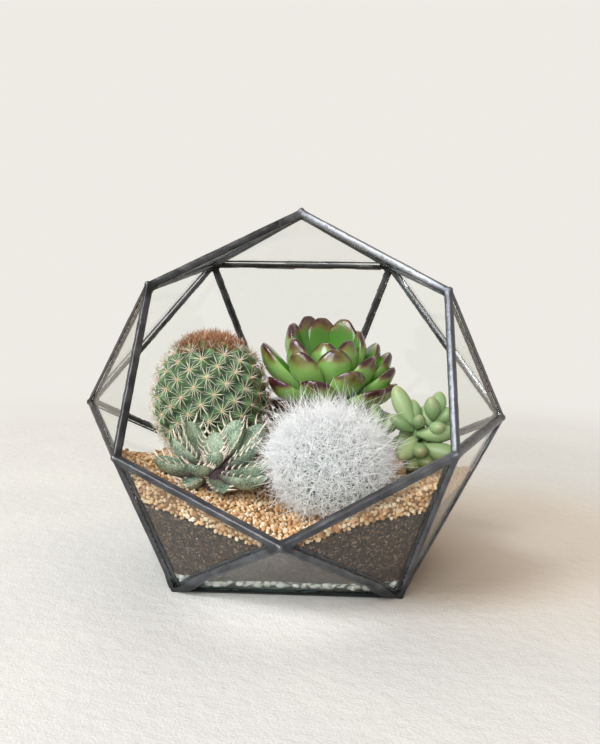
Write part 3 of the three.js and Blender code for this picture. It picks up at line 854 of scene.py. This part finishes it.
# %% [markdown]
# ## Leaves
#
# The leaves of all three succulents are swollen with water, so none is a thin sheet. Each one could
# be modelled from a cube by extruding and scaling its rings. There are about eighty, so each leaf is
# a ball drawn out from its root to its tip, and a rule for each plant gives the width, the two
# thicknesses and the bend along the leaf. The lists say where each leaf points: its turn from the
# front round to the right, its rise, and its length in millimetres.

# %% Leaf maker
NIB_SHARPNESS = 40


def aimed(turn, rise):
    """The turn that points a leaf from the root its own way."""
    return Matrix.Rotation(math.radians(turn - 90), 3, "Z") @ Matrix.Rotation(-math.radians(rise), 3, "Y")


def from_one_root(root, ways):
    """The same root, in metres, before the turn, rise and reach of each leaf."""
    return [(Vector(root) * MM, *way) for way in ways]


def leaf_cloud(form, root, turn, rise, reach, rule, nib):
    """The points of one leaf, with how far along and how far across it each one lies."""
    t = (1 + form.points[:, 2]) / 2
    ring = np.maximum(np.hypot(form.points[:, 0], form.points[:, 1]), 1e-6)
    across = form.points[:, 0] / ring
    above = form.points[:, 1] / ring
    wide, over, under, bend, cup = rule(t)
    thick = np.where(above > 0, over, under)
    reached = t + nib * t**NIB_SHARPNESS
    local = np.stack([reached, across * wide, above * thick + bend + cup * across**2], axis=1)
    return local * reach @ np.array(aimed(turn, rise)).T + np.array(root), t, across, above


def leafy(name, form, leaves, rule_of, seed, nib=0.0):
    """All the leaves of a plant as one mesh: leaves holds a root, turn, rise and reach for each."""
    rng = np.random.default_rng(seed)
    made = [
        leaf_cloud(form, root, turn, rise, reach * MM, rule_of(reach), nib)
        for root, turn, rise, reach in leaves
    ]
    piece = many(name, form.faces, [leaf[0] for leaf in made])
    note(piece, "along", np.concatenate([leaf[1] for leaf in made]))
    note(piece, "across", np.abs(np.concatenate([leaf[2] for leaf in made])))
    note(piece, "above", np.concatenate([leaf[3] for leaf in made]))
    note(piece, "tone", np.repeat(rng.random(len(made)), len(form.points)))
    return piece


def swell(t, lean, power):
    """0 at both ends and 1 between them: lean moves the widest place, power makes it blunter."""
    return np.sin(np.pi * np.clip(t, 0, 1) ** lean) ** power


def plug(foot):
    """A cylinder for the foot of a plant."""
    x, y, bottom, top, narrow, wide = (v * MM for v in foot)
    bpy.ops.object.select_all(action="DESELECT")
    middle = (x, y, (top + bottom) / 2)
    bpy.ops.mesh.primitive_cone_add(
        vertices=24, radius1=narrow, radius2=wide, depth=top - bottom, location=middle
    )
    made = bpy.context.object
    bpy.ops.object.transform_apply(location=True, rotation=True, scale=True)
    count = len(made.data.vertices)
    for field in ("along", "across", "above", "tone"):
        note(made, field, np.zeros(count))
    note(made, "foot", np.ones(count))
    return made


fine_ball = Form(bpy.ops.mesh.primitive_uv_sphere_add, segments=28, ring_count=26, radius=1)
small_ball = Form(bpy.ops.mesh.primitive_uv_sphere_add, segments=20, ring_count=16, radius=1)
print("faces of a leaf", len(fine_ball.faces), "and of a bead", len(small_ball.faces))

# %% [markdown]
# ## Rosette
#
# The rosette's leaves are plump below and flat above, and widest near the tip, which ends in a
# small point. Brown withered leaves hang under it, many and thick, and as a dark mass they also
# stand in for the shade under the rosette. Real ones stand in a spiral, and a spiral rule would
# place them, but the look of this plant hangs on where its few front leaves stand. So they are
# placed one by one.

# %% Rosette leaves
ROSETTE = (17.5, 0, 80)
# The feet of the plants are given as x, y, bottom, top and the radii at the bottom and the top.
ROSETTE_FOOT = (17.5, 0, 54, 77, 4, 5)
ROSETTE_NIB = 0.06
ROSETTE_LEAVES = [
    (-139, 65, 43), (-160, 69, 41), (149, 72, 40), (-30, 80, 28),
    (-108, 61, 41), (11, 61, 29), (53, 70, 31), (-61, 56, 36), (116, 66, 36),
    (-38, 45, 35), (25, 32, 31), (60, 44, 32), (110, 48, 36), (-87, 39, 42),
    (98, 38, 37), (82, 28, 35), (-16, 23, 31), (180, 52, 36), (-135, 42, 36),
    (140, 40, 35), (-60, 20, 34), (50, 14, 33), (160, 26, 33), (-155, 24, 33),
    (76, 15, 34), (118, 15, 33),
]
# Withered leaves; their dark mass also stands in for the shade under the rosette.
DRY_LEAVES_AND_SHADE = [
    (-105, -5, 33), (-86, -14, 28), (-70, -4, 27), (-62, -26, 30), (-40, -34, 28),
    (60, -20, 30), (90, -14, 33), (-96, -24, 31), (-80, -36, 30), (-110, -34, 30),
    (-92, -44, 30), (-78, -24, 29), (-98, -14, 30), (-70, -46, 28), (-88, -30, 29),
]


# A rule gives, along the leaf and as shares of its length: half its width, its thickness above the
# middle and below it, its bend, and how far its edges are turned up.
def rosette_rule(reach):
    wide = 8.3 / reach

    def rule(t):
        full = swell(t, 2.35, 0.42)
        return 0.02 + wide * full, 0.01 + 0.05 * full, 0.02 + 0.16 * full, 0.3 * (t * t - t), 0.02 * full
    return rule


def dry_rule(reach):
    wide = 5.8 / reach

    def rule(t):
        full = swell(t, 1.5, 0.7)
        return 0.02 + wide * full, 0.02 + 0.07 * full, 0.02 + 0.14 * full, 0.2 * (t * t - t), 0.03 * full
    return rule


leaves = from_one_root(ROSETTE, ROSETTE_LEAVES)
rosette = leafy("rosette", fine_ball, leaves, rosette_rule, seed=21, nib=ROSETTE_NIB)
dry = leafy("dry", fine_ball, from_one_root(ROSETTE, DRY_LEAVES_AND_SHADE), dry_rule, seed=24)
note(dry, "dry", np.ones(len(dry.data.vertices)))
rosette = join(rosette, dry)
rosette = join(rosette, plug(ROSETTE_FOOT))
print("rosette leaves:", len(ROSETTE_LEAVES), "fresh and", len(DRY_LEAVES_AND_SHADE), "dry")

# %% [markdown]
# The leaves are waxy: they shine, and a little light passes through them. They are pale green below
# and deep green above, and the sun has flushed the tips and edges dark red. The flush follows the
# numbers that each leaf carries for how far along and across it a point lies. Painting it by hand
# would give the same look, but it would have to be done for every leaf.

# %% Rosette finish
waxy = Finish("rosette_leaf")
along = waxy.noted("along")
edge = waxy.noted("across")
mottle = waxy.noise(120, 4)
outer = waxy.ramp(along, (0, "cfdca6"), (0.35, "a5ca7c"), (0.7, "92bc68"), (1, "5f8a3a"))
inner = waxy.ramp(along, (0, "79ad34"), (0.5, "4f8a24"), (1, "3b6d20"))
green = waxy.blend(waxy.noted("above").rising(0.0, 0.25), outer, inner)
blush = (along + 0.14 * (edge ** 8.0) + 0.26 * (mottle - 0.5)).rising(0.87, 1.05)
flush = waxy.ramp(blush, (0, "a2552f"), (0.35, "7c2a2c"), (1, "3c141d"))
fresh = waxy.blend(blush, green, flush)
brown = waxy.blend(mottle.rising(0.3, 0.7), "35241a", "6e5139")
waxy.skin(
    Base_Color=waxy.blend(waxy.noted("dry").larger(waxy.noted("foot")), fresh, brown),
    Roughness=0.27,
    Coat_Weight=0.4,
    Subsurface_Weight=0.08,
    Subsurface_Radius=(0.004, 0.006, 0.002),
    Normal=waxy.relief(mottle, 0.0005, 0.25),
)
keep(rosette, "rosette", "rosette_leaf", waxy.material, "rosette_succulent")

# %% [markdown]
# ## Toothed succulent
#
# Thick blunt leaves carry soft curved teeth along both edges, and spread low over the grit. A tooth
# could be pulled out of the edge of its leaf, which would need a much finer leaf. The teeth are
# short threads instead, and they stand where the rule of the leaf puts its edge.

# %% Toothed leaves
JAWS = (-34.5, -54, 54)
JAWS_FOOT = (-34.5, -54, 40, 56, 4, 7)
JAWS_LEAVES = [
    (-74, 42, 24), (138, 53, 27), (-122, 54, 26), (119, 38, 32), (105, 30, 25), (77, 10, 27),
    (62, 1, 29), (-82, 13, 27), (-20, 20, 19), (175, 68, 18), (20, 48, 15), (-46, -16, 19), (26, -18, 18),
]
TEETH = 6
TOOTH = 0.0046
TOOTH_WIDTH = 0.0015
# The place of the first tooth, and the stretch that is toothed, as shares of the leaf.
FIRST_TOOTH = 0.34
TOOTHED = 0.6
JAWS_BEND = 0.2
JAWS_CUP = 0.08


def jaws_width(t):
    return 0.255 * swell(t, 1.4, 0.5)


def jaws_rule(reach):
    """All the leaves have the same shape, so this rule is the same for every reach."""
    def rule(t):
        full = swell(t, 1.3, 0.5)
        return jaws_width(t), 0.03 * full, 0.17 * full, JAWS_BEND * (t * t - t), JAWS_CUP * full
    return rule


def jaws_teeth():
    """Curved teeth along both edges of every leaf."""
    roots, ways, bends = [], [], []
    for turn, rise, reach in JAWS_LEAVES:
        spin = aimed(turn, rise)
        for side in (-1, 1):
            for number in range(TEETH):
                t = FIRST_TOOTH + TOOTHED * number / (TEETH - 1)
                lift = JAWS_BEND * (t * t - t) + JAWS_CUP * swell(t, 1.3, 0.5)
                spot = Vector((t, side * jaws_width(t) * 0.93, lift)) * reach * MM
                roots.append(spin @ spot + Vector(JAWS) * MM)
                ways.append(spin @ Vector((0.1 + 0.6 * t**4, side, 0.45)))
                bends.append(spin @ Vector((0.55, -0.25 * side, 0.25)))
    count = len(roots)
    lengths = TOOTH * np.random.default_rng(31).uniform(0.75, 1.15, count)
    widths = np.full(count, TOOTH_WIDTH)
    roots, ways, bends = np.array(roots), np.array(ways), np.array(bends)
    return threads("teeth", roots, ways, bends, lengths, widths, steps=4, taper=0.85)


jaws = leafy("jaws", fine_ball, from_one_root(JAWS, JAWS_LEAVES), jaws_rule, seed=22)
teeth = jaws_teeth()
note(teeth, "tooth", np.ones(len(teeth.data.vertices)))
jaws = join(jaws, teeth, plug(JAWS_FOOT))
print("toothed leaves:", len(JAWS_LEAVES), "with", 2 * TEETH, "teeth each")

# %% [markdown]
# The leaves are grey green and matt, with fine pale dots, and they turn purple towards the heart of
# the plant and on their undersides. The dots come from cells: the distance is smallest in the middle
# of a cell, so a low threshold leaves a dot in each.

# %% Toothed finish
glaucous = Finish("toothed_leaf")
along = glaucous.noted("along")
under = (0.0 - glaucous.noted("above")).rising(0.1, 0.7)
dots = 1 - glaucous.cells(1250).rising(0.22, 0.4)
cloudy = glaucous.noise(160, 3)
glaucous.skin(
    Base_Color=glaucous.layered(
        "5f7863",
        (cloudy.rising(0.35, 0.65), "98ab92"),
        (dots * 0.85, "d9e0d2"),
        ((1 - along.rising(0.2, 0.5)) * 0.85, "5d3f52"),
        (under * (1 - along.rising(0.3, 0.8)) * 0.7, "6b4a5a"),
        (glaucous.noted("tooth"), "efe5d4"),
    ),
    Roughness=0.55,
    Normal=glaucous.relief(dots, 0.0003, 0.6),
)
keep(jaws, "toothed_succulent_leaves", "toothed_leaf", glaucous.material, "toothed_succulent")

# %% [markdown]
# ## Bead succulent
#
# Three short stems rise from one foot and carry leaves like beans, of different lengths. The stems
# could be curves with a thickness, but a curve has to be made a mesh in the end. So each stem is a
# thin ball drawn out along a bend, and the beads use the leaf maker with a coarser ball.

# %% Bead leaves
SEDUM_FOOT = (57, -48, 46, 65, 3, 4)
# For each stem: its tip, and then its beads by their place on the stem, turn, rise and length.
SEDUM_STEMS = [
    ((57, -50, 76), [
        (1, -113, 60, 21), (1, -160, 68, 13), (1, 20, 52, 8), (0.9, -90, 30, 13), (0.8, 75, 9, 18),
        (0.7, -30, -25, 17), (0.5, 170, 30, 15), (0.35, 8, 2, 14), (0.3, -150, 30, 12), (0.3, 62, 0, 21),
        (0.1, -12, -18, 14), (0.1, 130, 20, 15), (0.02, 25, -5, 14),
    ]),
    ((65, -49, 79), [
        (1, 146, 67, 14), (1, -30, 75, 12), (0.95, 90, 37, 12), (0.85, 12, 10, 11), (0.8, -150, 50, 12),
        (0.7, 165, 32, 14), (0.6, 110, 20, 13),
    ]),
    ((43, -43, 73), [
        (1, -134, 61, 13), (0.9, 40, 48, 10), (0.9, -95, 60, 12), (0.8, 160, 37, 13), (0.65, -150, 20, 11),
        (0.5, 60, 20, 10),
    ]),
]
STEM_RADIUS = 0.0016
STEM_SUNK = 1.6


def bead_rule(reach):
    girth = 2.2 / reach + 0.12

    def rule(t):
        full = 0.95 * girth * swell(t, 1.25, 0.58)
        return 0.02 + full, 0.02 + 0.8 * full, 0.02 + 0.92 * full, 0.08 * (t * t - t), 0 * t
    return rule


def along_bend(start, bend, end, t):
    """A point of the curve from start to end that leans towards bend."""
    return (1 - t) ** 2 * start + 2 * t * (1 - t) * bend + t * t * end


leaves = []
stem_clouds = []
start = Vector((SEDUM_FOOT[0], SEDUM_FOOT[1], SEDUM_FOOT[3] - STEM_SUNK)) * MM
for tip, ways in SEDUM_STEMS:
    end = Vector(tip) * MM
    bend = Vector((end.x, end.y, (start.z + end.z) / 2 - MM))
    leaves += [(along_bend(start, bend, end, place), *way) for place, *way in ways]
    t = ((1 + small_ball.points[:, 2]) / 2)[:, None]
    ring = small_ball.points * [1, 1, 0] * STEM_RADIUS
    stem_clouds.append(along_bend(np.array(start), np.array(bend), np.array(end), t) + ring)
stems = many("stems", small_ball.faces, stem_clouds)
beads = leafy("beads", small_ball, leaves, bead_rule, seed=23)
beads = join(beads, stems, plug(SEDUM_FOOT))
print("beads:", len(leaves), "on", len(SEDUM_STEMS), "stems")

# %% [markdown]
# No two beads have the same green. Each one carries a random tone, from deep green to yellow green,
# and its tip, its blemishes and the shaded foot of the plant are laid over that in turn.

# %% Bead finish
smooth_green = Finish("bead_leaf")
along = smooth_green.noted("along")
kind = smooth_green.noted("tone")
mottle = smooth_green.noise(150, 3)
smooth_green.skin(
    Base_Color=smooth_green.layered(
        smooth_green.ramp(kind, (0, "667f52"), (0.5, "8aa574"), (0.9, "9fb582"), (1, "bfc574")),
        (along.rising(0.85, 1.0) * 0.4, "b5a177"),
        (smooth_green.noise(420, 2).rising(0.6, 0.72) * 0.5, "a98f6c"),
        ((1 - along.rising(0.0, 0.25)) * 0.5, "5d7a44"),
        (mottle.rising(0.4, 0.75) * 0.3, "7f9f6c"),
        # Painted shade, darker and browner low on the plant.
        ((1 - smooth_green.part(2).rising(0.058, 0.078)) * 0.5, "6b6a3c"),
        (smooth_green.noted("foot"), "5d4c3a"),
    ),
    Roughness=0.42,
    Subsurface_Weight=0.1,
    Subsurface_Radius=(0.004, 0.006, 0.003),
    Normal=smooth_green.relief(mottle, 0.0004, 0.2),
)
keep(beads, "bead_leaves", "bead_leaf", smooth_green.material, "bead_succulent")

# %% [markdown]
# ## Globe cacti
#
# A globe cactus is a ball that stands taller or lower than it is wide. Its tubercles stand on it in
# spirals, each one the golden angle further round than the one before, and a felt pad at the tip of
# each carries the spines. A hundred small cones could be joined to the ball, but their feet would
# cut into it sharply. Here the ball has a fine mesh, and its points are lifted near each place by a
# smooth bump.

# %% Globe maker
GOLDEN_ANGLE = math.pi * (3 - math.sqrt(5))
# Somewhat over a whole turn, in radians.
ANY_TURN = 6.3
# So many points are compared with all the places at a time, which spares memory.
BATCH = 2000


def on_globe(centre, radius, half_height, count):
    """Places and normals of the tubercles, from the crown down."""
    rank = np.arange(count) + 0.5
    up = 1 - 2 * rank / count
    ring = np.sqrt(1 - up * up)
    spin = rank * GOLDEN_ANGLE
    ball = np.stack([ring * np.cos(spin), ring * np.sin(spin), up], axis=1)
    size = np.array([radius, radius, half_height])
    return ball * size + centre, unit(ball / size), up


def globe_body(name, centre, radius, half_height, bottom, places, bump, spread):
    """The ball, with a bump at each place, cut level at the bottom."""
    bpy.ops.object.select_all(action="DESELECT")
    bpy.ops.mesh.primitive_uv_sphere_add(segments=150, ring_count=104, radius=1)
    body = bpy.context.object
    ball = points_of(body)
    size = np.array([radius, radius, half_height])
    points = ball * size + centre
    normals = unit(ball / size)
    height = np.zeros(len(points))
    for start in range(0, len(points), BATCH):
        part = slice(start, start + BATCH)
        apart = ((points[part, None, :] - places[None]) ** 2).sum(axis=2)
        height[part] = np.exp(-apart.min(axis=1) / spread**2)
    points += normals * (bump * height)[:, None]
    points[:, 2] = np.maximum(points[:, 2], bottom)
    set_points(body, points)
    note(body, "height", height)
    body.name = name
    body.data.shade_smooth()
    return body


def fan(rng, normals, each, tilt, spread):
    """Directions that fan out round each normal: tilt is the angle from it, with a random spread."""
    count = len(normals) * each
    upright = np.repeat(normals, each, axis=0)
    side = unit(np.cross(upright, [0.13, 0.21, 1.0]))
    over = np.cross(upright, side)
    first = np.repeat(rng.uniform(0, ANY_TURN, len(normals)), each)
    spin = np.tile(np.arange(each) * 2 * math.pi / each, len(normals)) + first
    spin = (spin + rng.uniform(-0.2, 0.2, count))[:, None]
    lean = (tilt + rng.uniform(-spread, spread, count))[:, None]
    return np.cos(lean) * upright + np.sin(lean) * (np.cos(spin) * side + np.sin(spin) * over)


# %% [markdown]
# ## Spiny cactus
#
# The body is green and knobbly. It is sunk in the grit, so it is cut level below, and tubercles
# that would lie in the grit get no spines.

# %% Spiny body
SPINY = np.array([-41.5, -13, 80]) * MM
SPINY_RADIUS = 0.0246
SPINY_HALF_HEIGHT = 0.0286
SPINY_BOTTOM = 0.051
SPINY_GLOBE = (SPINY, SPINY_RADIUS, SPINY_HALF_HEIGHT)
TUBERCLES = 172
TUBERCLE = 0.004
TUBERCLE_SPREAD = 0.0031

rng = np.random.default_rng(41)
places, normals, up = on_globe(*SPINY_GLOBE, TUBERCLES)
spiny = globe_body("spiny", *SPINY_GLOBE, SPINY_BOTTOM, places, TUBERCLE, TUBERCLE_SPREAD)
seen = places[:, 2] > SPINY_BOTTOM + TUBERCLE
places, normals, up = places[seen], normals[seen], up[seen]
tips = places + normals * (TUBERCLE - 0.0002)
print("tubercles:", TUBERCLES, "of them above the grit:", len(tips))

# %% [markdown]
# Each tubercle ends in a felt pad with a star of pale spines, and two shorter and thicker ones stand
# up in the middle. Particle hair would be quick to comb, but it leaves no solid mesh, so the spines
# are threads. Towards the crown they stand upright and turn rusty, and the spines on the right flank
# are brown as well.

# %% Spines
SPINES_EACH = 15
SPINE = 0.0076
SPINE_WIDTH = 0.00032
MIDDLE_SPINE = 0.0042
MIDDLE_WIDTH = 0.00042
SPINE_STEPS = 3
PAD = [0.001, 0.001, 0.0009]
# The height on a ball of radius 1 at which the crown begins, and how far it takes to set in.
CROWN_UP = 0.78
CROWN_FADE = 0.15

pad_clouds = chip.points[None] * PAD + (tips - normals * 0.0001)[:, None, :]
pads = many("pads", chip.faces, list(pad_clouds))
ways = fan(rng, normals, SPINES_EACH, 1.15, 0.25)
upright = np.repeat(normals, SPINES_EACH, axis=0)
crown = np.repeat(np.clip((up - CROWN_UP) / CROWN_FADE, 0, 1), SPINES_EACH)[:, None]
ways = unit(ways + (upright * 0.5 + rng.normal(0, 0.25, (len(ways), 3)) + [0, 0, 0.3]) * crown)
bends = -0.14 * upright * (1 - crown)
roots = np.repeat(tips, SPINES_EACH, axis=0)
lengths = SPINE * rng.uniform(0.7, 1.1, len(roots)) * (1 - 0.25 * crown[:, 0])
widths = np.full(len(roots), SPINE_WIDTH)
spines = threads("spines", roots, ways, bends, lengths, widths, steps=SPINE_STEPS)
pairs = np.repeat(tips, 2, axis=0)
count = len(pairs)
middle = threads(
    "middle", pairs, fan(rng, normals, 2, 0.4, 0.3), np.zeros((count, 3)),
    np.full(count, MIDDLE_SPINE), np.full(count, MIDDLE_WIDTH), steps=SPINE_STEPS,
)
flank = 0.5 * np.clip((upright[:, 0] - 0.55) / 0.25, 0, 1)
brown = np.maximum(crown[:, 0] * rng.uniform(0.7, 1, len(roots)), flank * rng.uniform(0.6, 1, len(roots)))
note(spines, "rust", np.repeat(brown, points_of_thread(SPINE_STEPS)))
note(middle, "rust", np.full(len(middle.data.vertices), 0.1))
print("spines:", len(roots), "and in the middle", count)

# %% [markdown]
# New spines crowd at the growing point, so the crown is a cap of short rusty bristles. Their roots
# are spread by the same spiral as the tubercles, only far denser, and the edge of the cap is ragged
# because a random number decides there which roots are kept.

# %% Crown
CAP_SPOTS = 2400
CAP_EACH = 7
CAP_EDGE = 0.81
BRISTLE_LOW = 0.0022
BRISTLE_HIGH = 0.005
BRISTLE_WIDTH = 0.00038

cap, cap_normals, _ = on_globe(*SPINY_GLOBE, CAP_SPOTS)
on_top = cap_normals[:, 2] + rng.normal(0, 0.06, CAP_SPOTS) > CAP_EDGE
cap, cap_normals = cap[on_top], cap_normals[on_top]
fuzz_ways = fan(rng, cap_normals, CAP_EACH, 0.55, 0.5) + [0, 0, 0.3]
fuzz_roots = np.repeat(cap + 0.0026 * cap_normals, CAP_EACH, axis=0)
fuzz_roots = fuzz_roots + rng.normal(0, 0.0009, fuzz_roots.shape) * [1, 1, 0.3]
count = len(fuzz_roots)
fuzz_bends = rng.normal(0, 0.15, fuzz_roots.shape)
fuzz_lengths = rng.uniform(BRISTLE_LOW, BRISTLE_HIGH, count)
fuzz_widths = np.full(count, BRISTLE_WIDTH)
fuzz = threads("fuzz", fuzz_roots, fuzz_ways, fuzz_bends, fuzz_lengths, fuzz_widths, steps=SPINE_STEPS)
note(fuzz, "rust", np.repeat(rng.uniform(0.6, 1, count), points_of_thread(SPINE_STEPS)))
note(pads, "pad", np.ones(len(pads.data.vertices)))
note(pads, "rust", np.repeat(np.clip((up - 0.72) / 0.2, 0, 1), len(chip.points)))
spines = join(spines, middle, fuzz, pads)
print("bristles on the crown:", count)

# %% [markdown]
# The flesh is darkened with painted shade between the tubercles and is palest at their tips, so its
# colour follows the height of the bump. The spines are cream, the pads tan, and rust is a number
# from 0 to 1.

# %% Spiny finish
flesh = Finish("cactus_flesh")
mottle = flesh.noise(260, 3)
# Painted shade: darkest in the hollows between the tubercles.
flesh_and_painted_shade = flesh.ramp(
    flesh.noted("height"),
    (0, "102016"), (0.3, "28492b"), (0.75, "4a7342"), (1, "709860"),
)
flesh.skin(
    Base_Color=flesh.blend(mottle.rising(0.4, 0.75) * 0.3, flesh_and_painted_shade, "86a56c"),
    Roughness=0.55,
    Normal=flesh.relief(mottle, 0.0004, 0.4),
)
thorn = Finish("spiny_cactus")
along = thorn.noted("along")
cream = thorn.blend(along, "eadfc9", "fbf5e8")
aged = thorn.ramp(thorn.noted("rust"), (0, "fbf5e8"), (0.45, "85664c"), (0.7, "a46c4c"), (1, "cf9f78"))
old = thorn.noted("rust").rising(0.0, 0.4)
thorn.skin(
    Base_Color=thorn.layered(cream, (old, aged), (thorn.noted("pad") * (1 - old) * 0.9, "d8b98c")),
    Roughness=0.6,
)
keep(spiny, "spiny_cactus_body", "spiny_cactus", flesh.material, "spiny_cactus")
keep(spines, "spiny_cactus_spines", "spiny_cactus", thorn.material, "spiny_cactus")

# %% [markdown]
# ## Woolly cactus
#
# The second cactus wears a coat of white hair against the sun, and its body hardly shows. The body
# is made as that of the first, with more and smaller bumps, each one moved a little out of its
# spiral. A tuft of hair grows on each.

# %% Woolly body
WOOLLY = np.array([18.5, -59.5, 60]) * MM
WOOLLY_RADIUS = 0.0225
WOOLLY_HALF_HEIGHT = 0.0205
WOOLLY_BOTTOM = 0.0405
WOOLLY_GLOBE = (WOOLLY, WOOLLY_RADIUS, WOOLLY_HALF_HEIGHT)
WOOL_TUFTS = 300
TUFT_BUMP = 0.0016
TUFT_SPREAD = 0.0018

rng = np.random.default_rng(51)
places, normals, up = on_globe(*WOOLLY_GLOBE, WOOL_TUFTS)
bumps = places + rng.normal(0, 0.0005, places.shape)
woolly = globe_body("woolly", *WOOLLY_GLOBE, WOOLLY_BOTTOM, bumps, TUFT_BUMP, TUFT_SPREAD)
seen = places[:, 2] > WOOLLY_BOTTOM + 0.002
places, normals, up = places[seen], normals[seen], up[seen]
tips = places + normals * 0.0014
print("tufts", len(tips))

# %% [markdown]
# Short hairs cover the body, long ones curl over those, and a plume stands up on the crown. The
# cactus stands close behind two panes, and no hair may pass the glass. Leaving such hairs out would
# bare the cactus where one looks at it, so each one is bent back just far enough to lie along its
# pane.

# %% Wool
CLEAR = 0.0034
SHORT_STEPS = 3
LONG_STEPS = 5

walls = []
for a, b, c in ((mouth[0], belt[0], mouth[1]), (belt[5], belt[0], mouth[0])):
    outward = np.array((b - a).cross(c - a).normalized())
    walls.append((np.array(a) - CLEAR * outward, outward))


def wool(name, chosen, each, tilt, spread, length, curve, hug, width, seed, steps):
    """Hairs from the chosen tufts: they leave them at a tilt, curve at random and lie down by hug."""
    rng = np.random.default_rng(seed)
    count = chosen.sum() * each
    ways = unit(fan(rng, normals[chosen], each, tilt, spread))
    bends = rng.normal(0, curve, (count, 3)) + [0, 0, 0.12] - hug * np.repeat(normals[chosen], each, axis=0)
    lengths = length * rng.uniform(0.6, 1.25, count)
    roots = np.repeat(tips[chosen], each, axis=0) + rng.normal(0, 0.0005, (count, 3))
    for wall, outward in walls:
        past = ((roots + lengths[:, None] * (ways + bends) - wall) * outward).sum(axis=1)
        bends -= outward * (np.maximum(past, 0) / lengths)[:, None]
    hairs = threads(name, roots, ways, bends, lengths, np.full(count, width), steps=steps)
    note(hairs, "up", np.repeat(np.repeat(up[chosen], each), points_of_thread(steps)))
    return hairs


everywhere = np.ones(len(up), dtype=bool)
short_hair = wool(
    "short_hair", everywhere, each=12, tilt=1.05, spread=0.35, length=0.0055,
    curve=0.3, hug=0.1, width=0.0003, seed=52, steps=SHORT_STEPS,
)
long_hair = wool(
    "long_hair", everywhere, each=14, tilt=1.0, spread=0.45, length=0.0118,
    curve=0.55, hug=0.55, width=0.00033, seed=53, steps=LONG_STEPS,
)
plume = wool(
    "plume", up > 0.0, each=19, tilt=0.65, spread=0.5, length=0.0088,
    curve=0.34, hug=0.0, width=0.00028, seed=54, steps=SHORT_STEPS,
)
print("hairs bent back along", len(walls), "panes")

# %% [markdown]
# White hair glows, because light passes from one hair to the next many times before it leaves. A
# few bounces of rendered light can't follow that. So the hairs let light through and give off a
# faint glow of their own, which is painted light. Low down they are a little yellower.

# %% Woolly finish
grey = Finish("woolly_flesh")
grey.skin(
    # Painted shade: the body is darkest in the hollows between its bumps.
    Base_Color=grey.ramp(grey.noted("height"), (0, "3f5341"), (0.6, "82957f"), (1, "d0dacd")),
    Roughness=0.7,
)
fleece = Finish("woolly_cactus")
low = 1 - fleece.noted("up").rising(-0.9, -0.1)
fleece.skin(
    Base_Color=fleece.blend(low * 0.5, "f8fbff", "fbf4ea"),
    Roughness=0.7,
    Subsurface_Weight=0.7,
    Subsurface_Radius=(0.004, 0.004, 0.004),
    # Painted light: a faint glow of the hair's own.
    Emission_Color="faf7f2",
    Emission_Strength=0.035,
)
keep(woolly, "woolly_cactus_body", "woolly_cactus", grey.material, "woolly_cactus")
keep(short_hair, "woolly_cactus_short_hair", "woolly_cactus", fleece.material, "woolly_cactus")
keep(join(long_hair, plume), "woolly_cactus_long_hair", "woolly_cactus", fleece.material, "woolly_cactus")
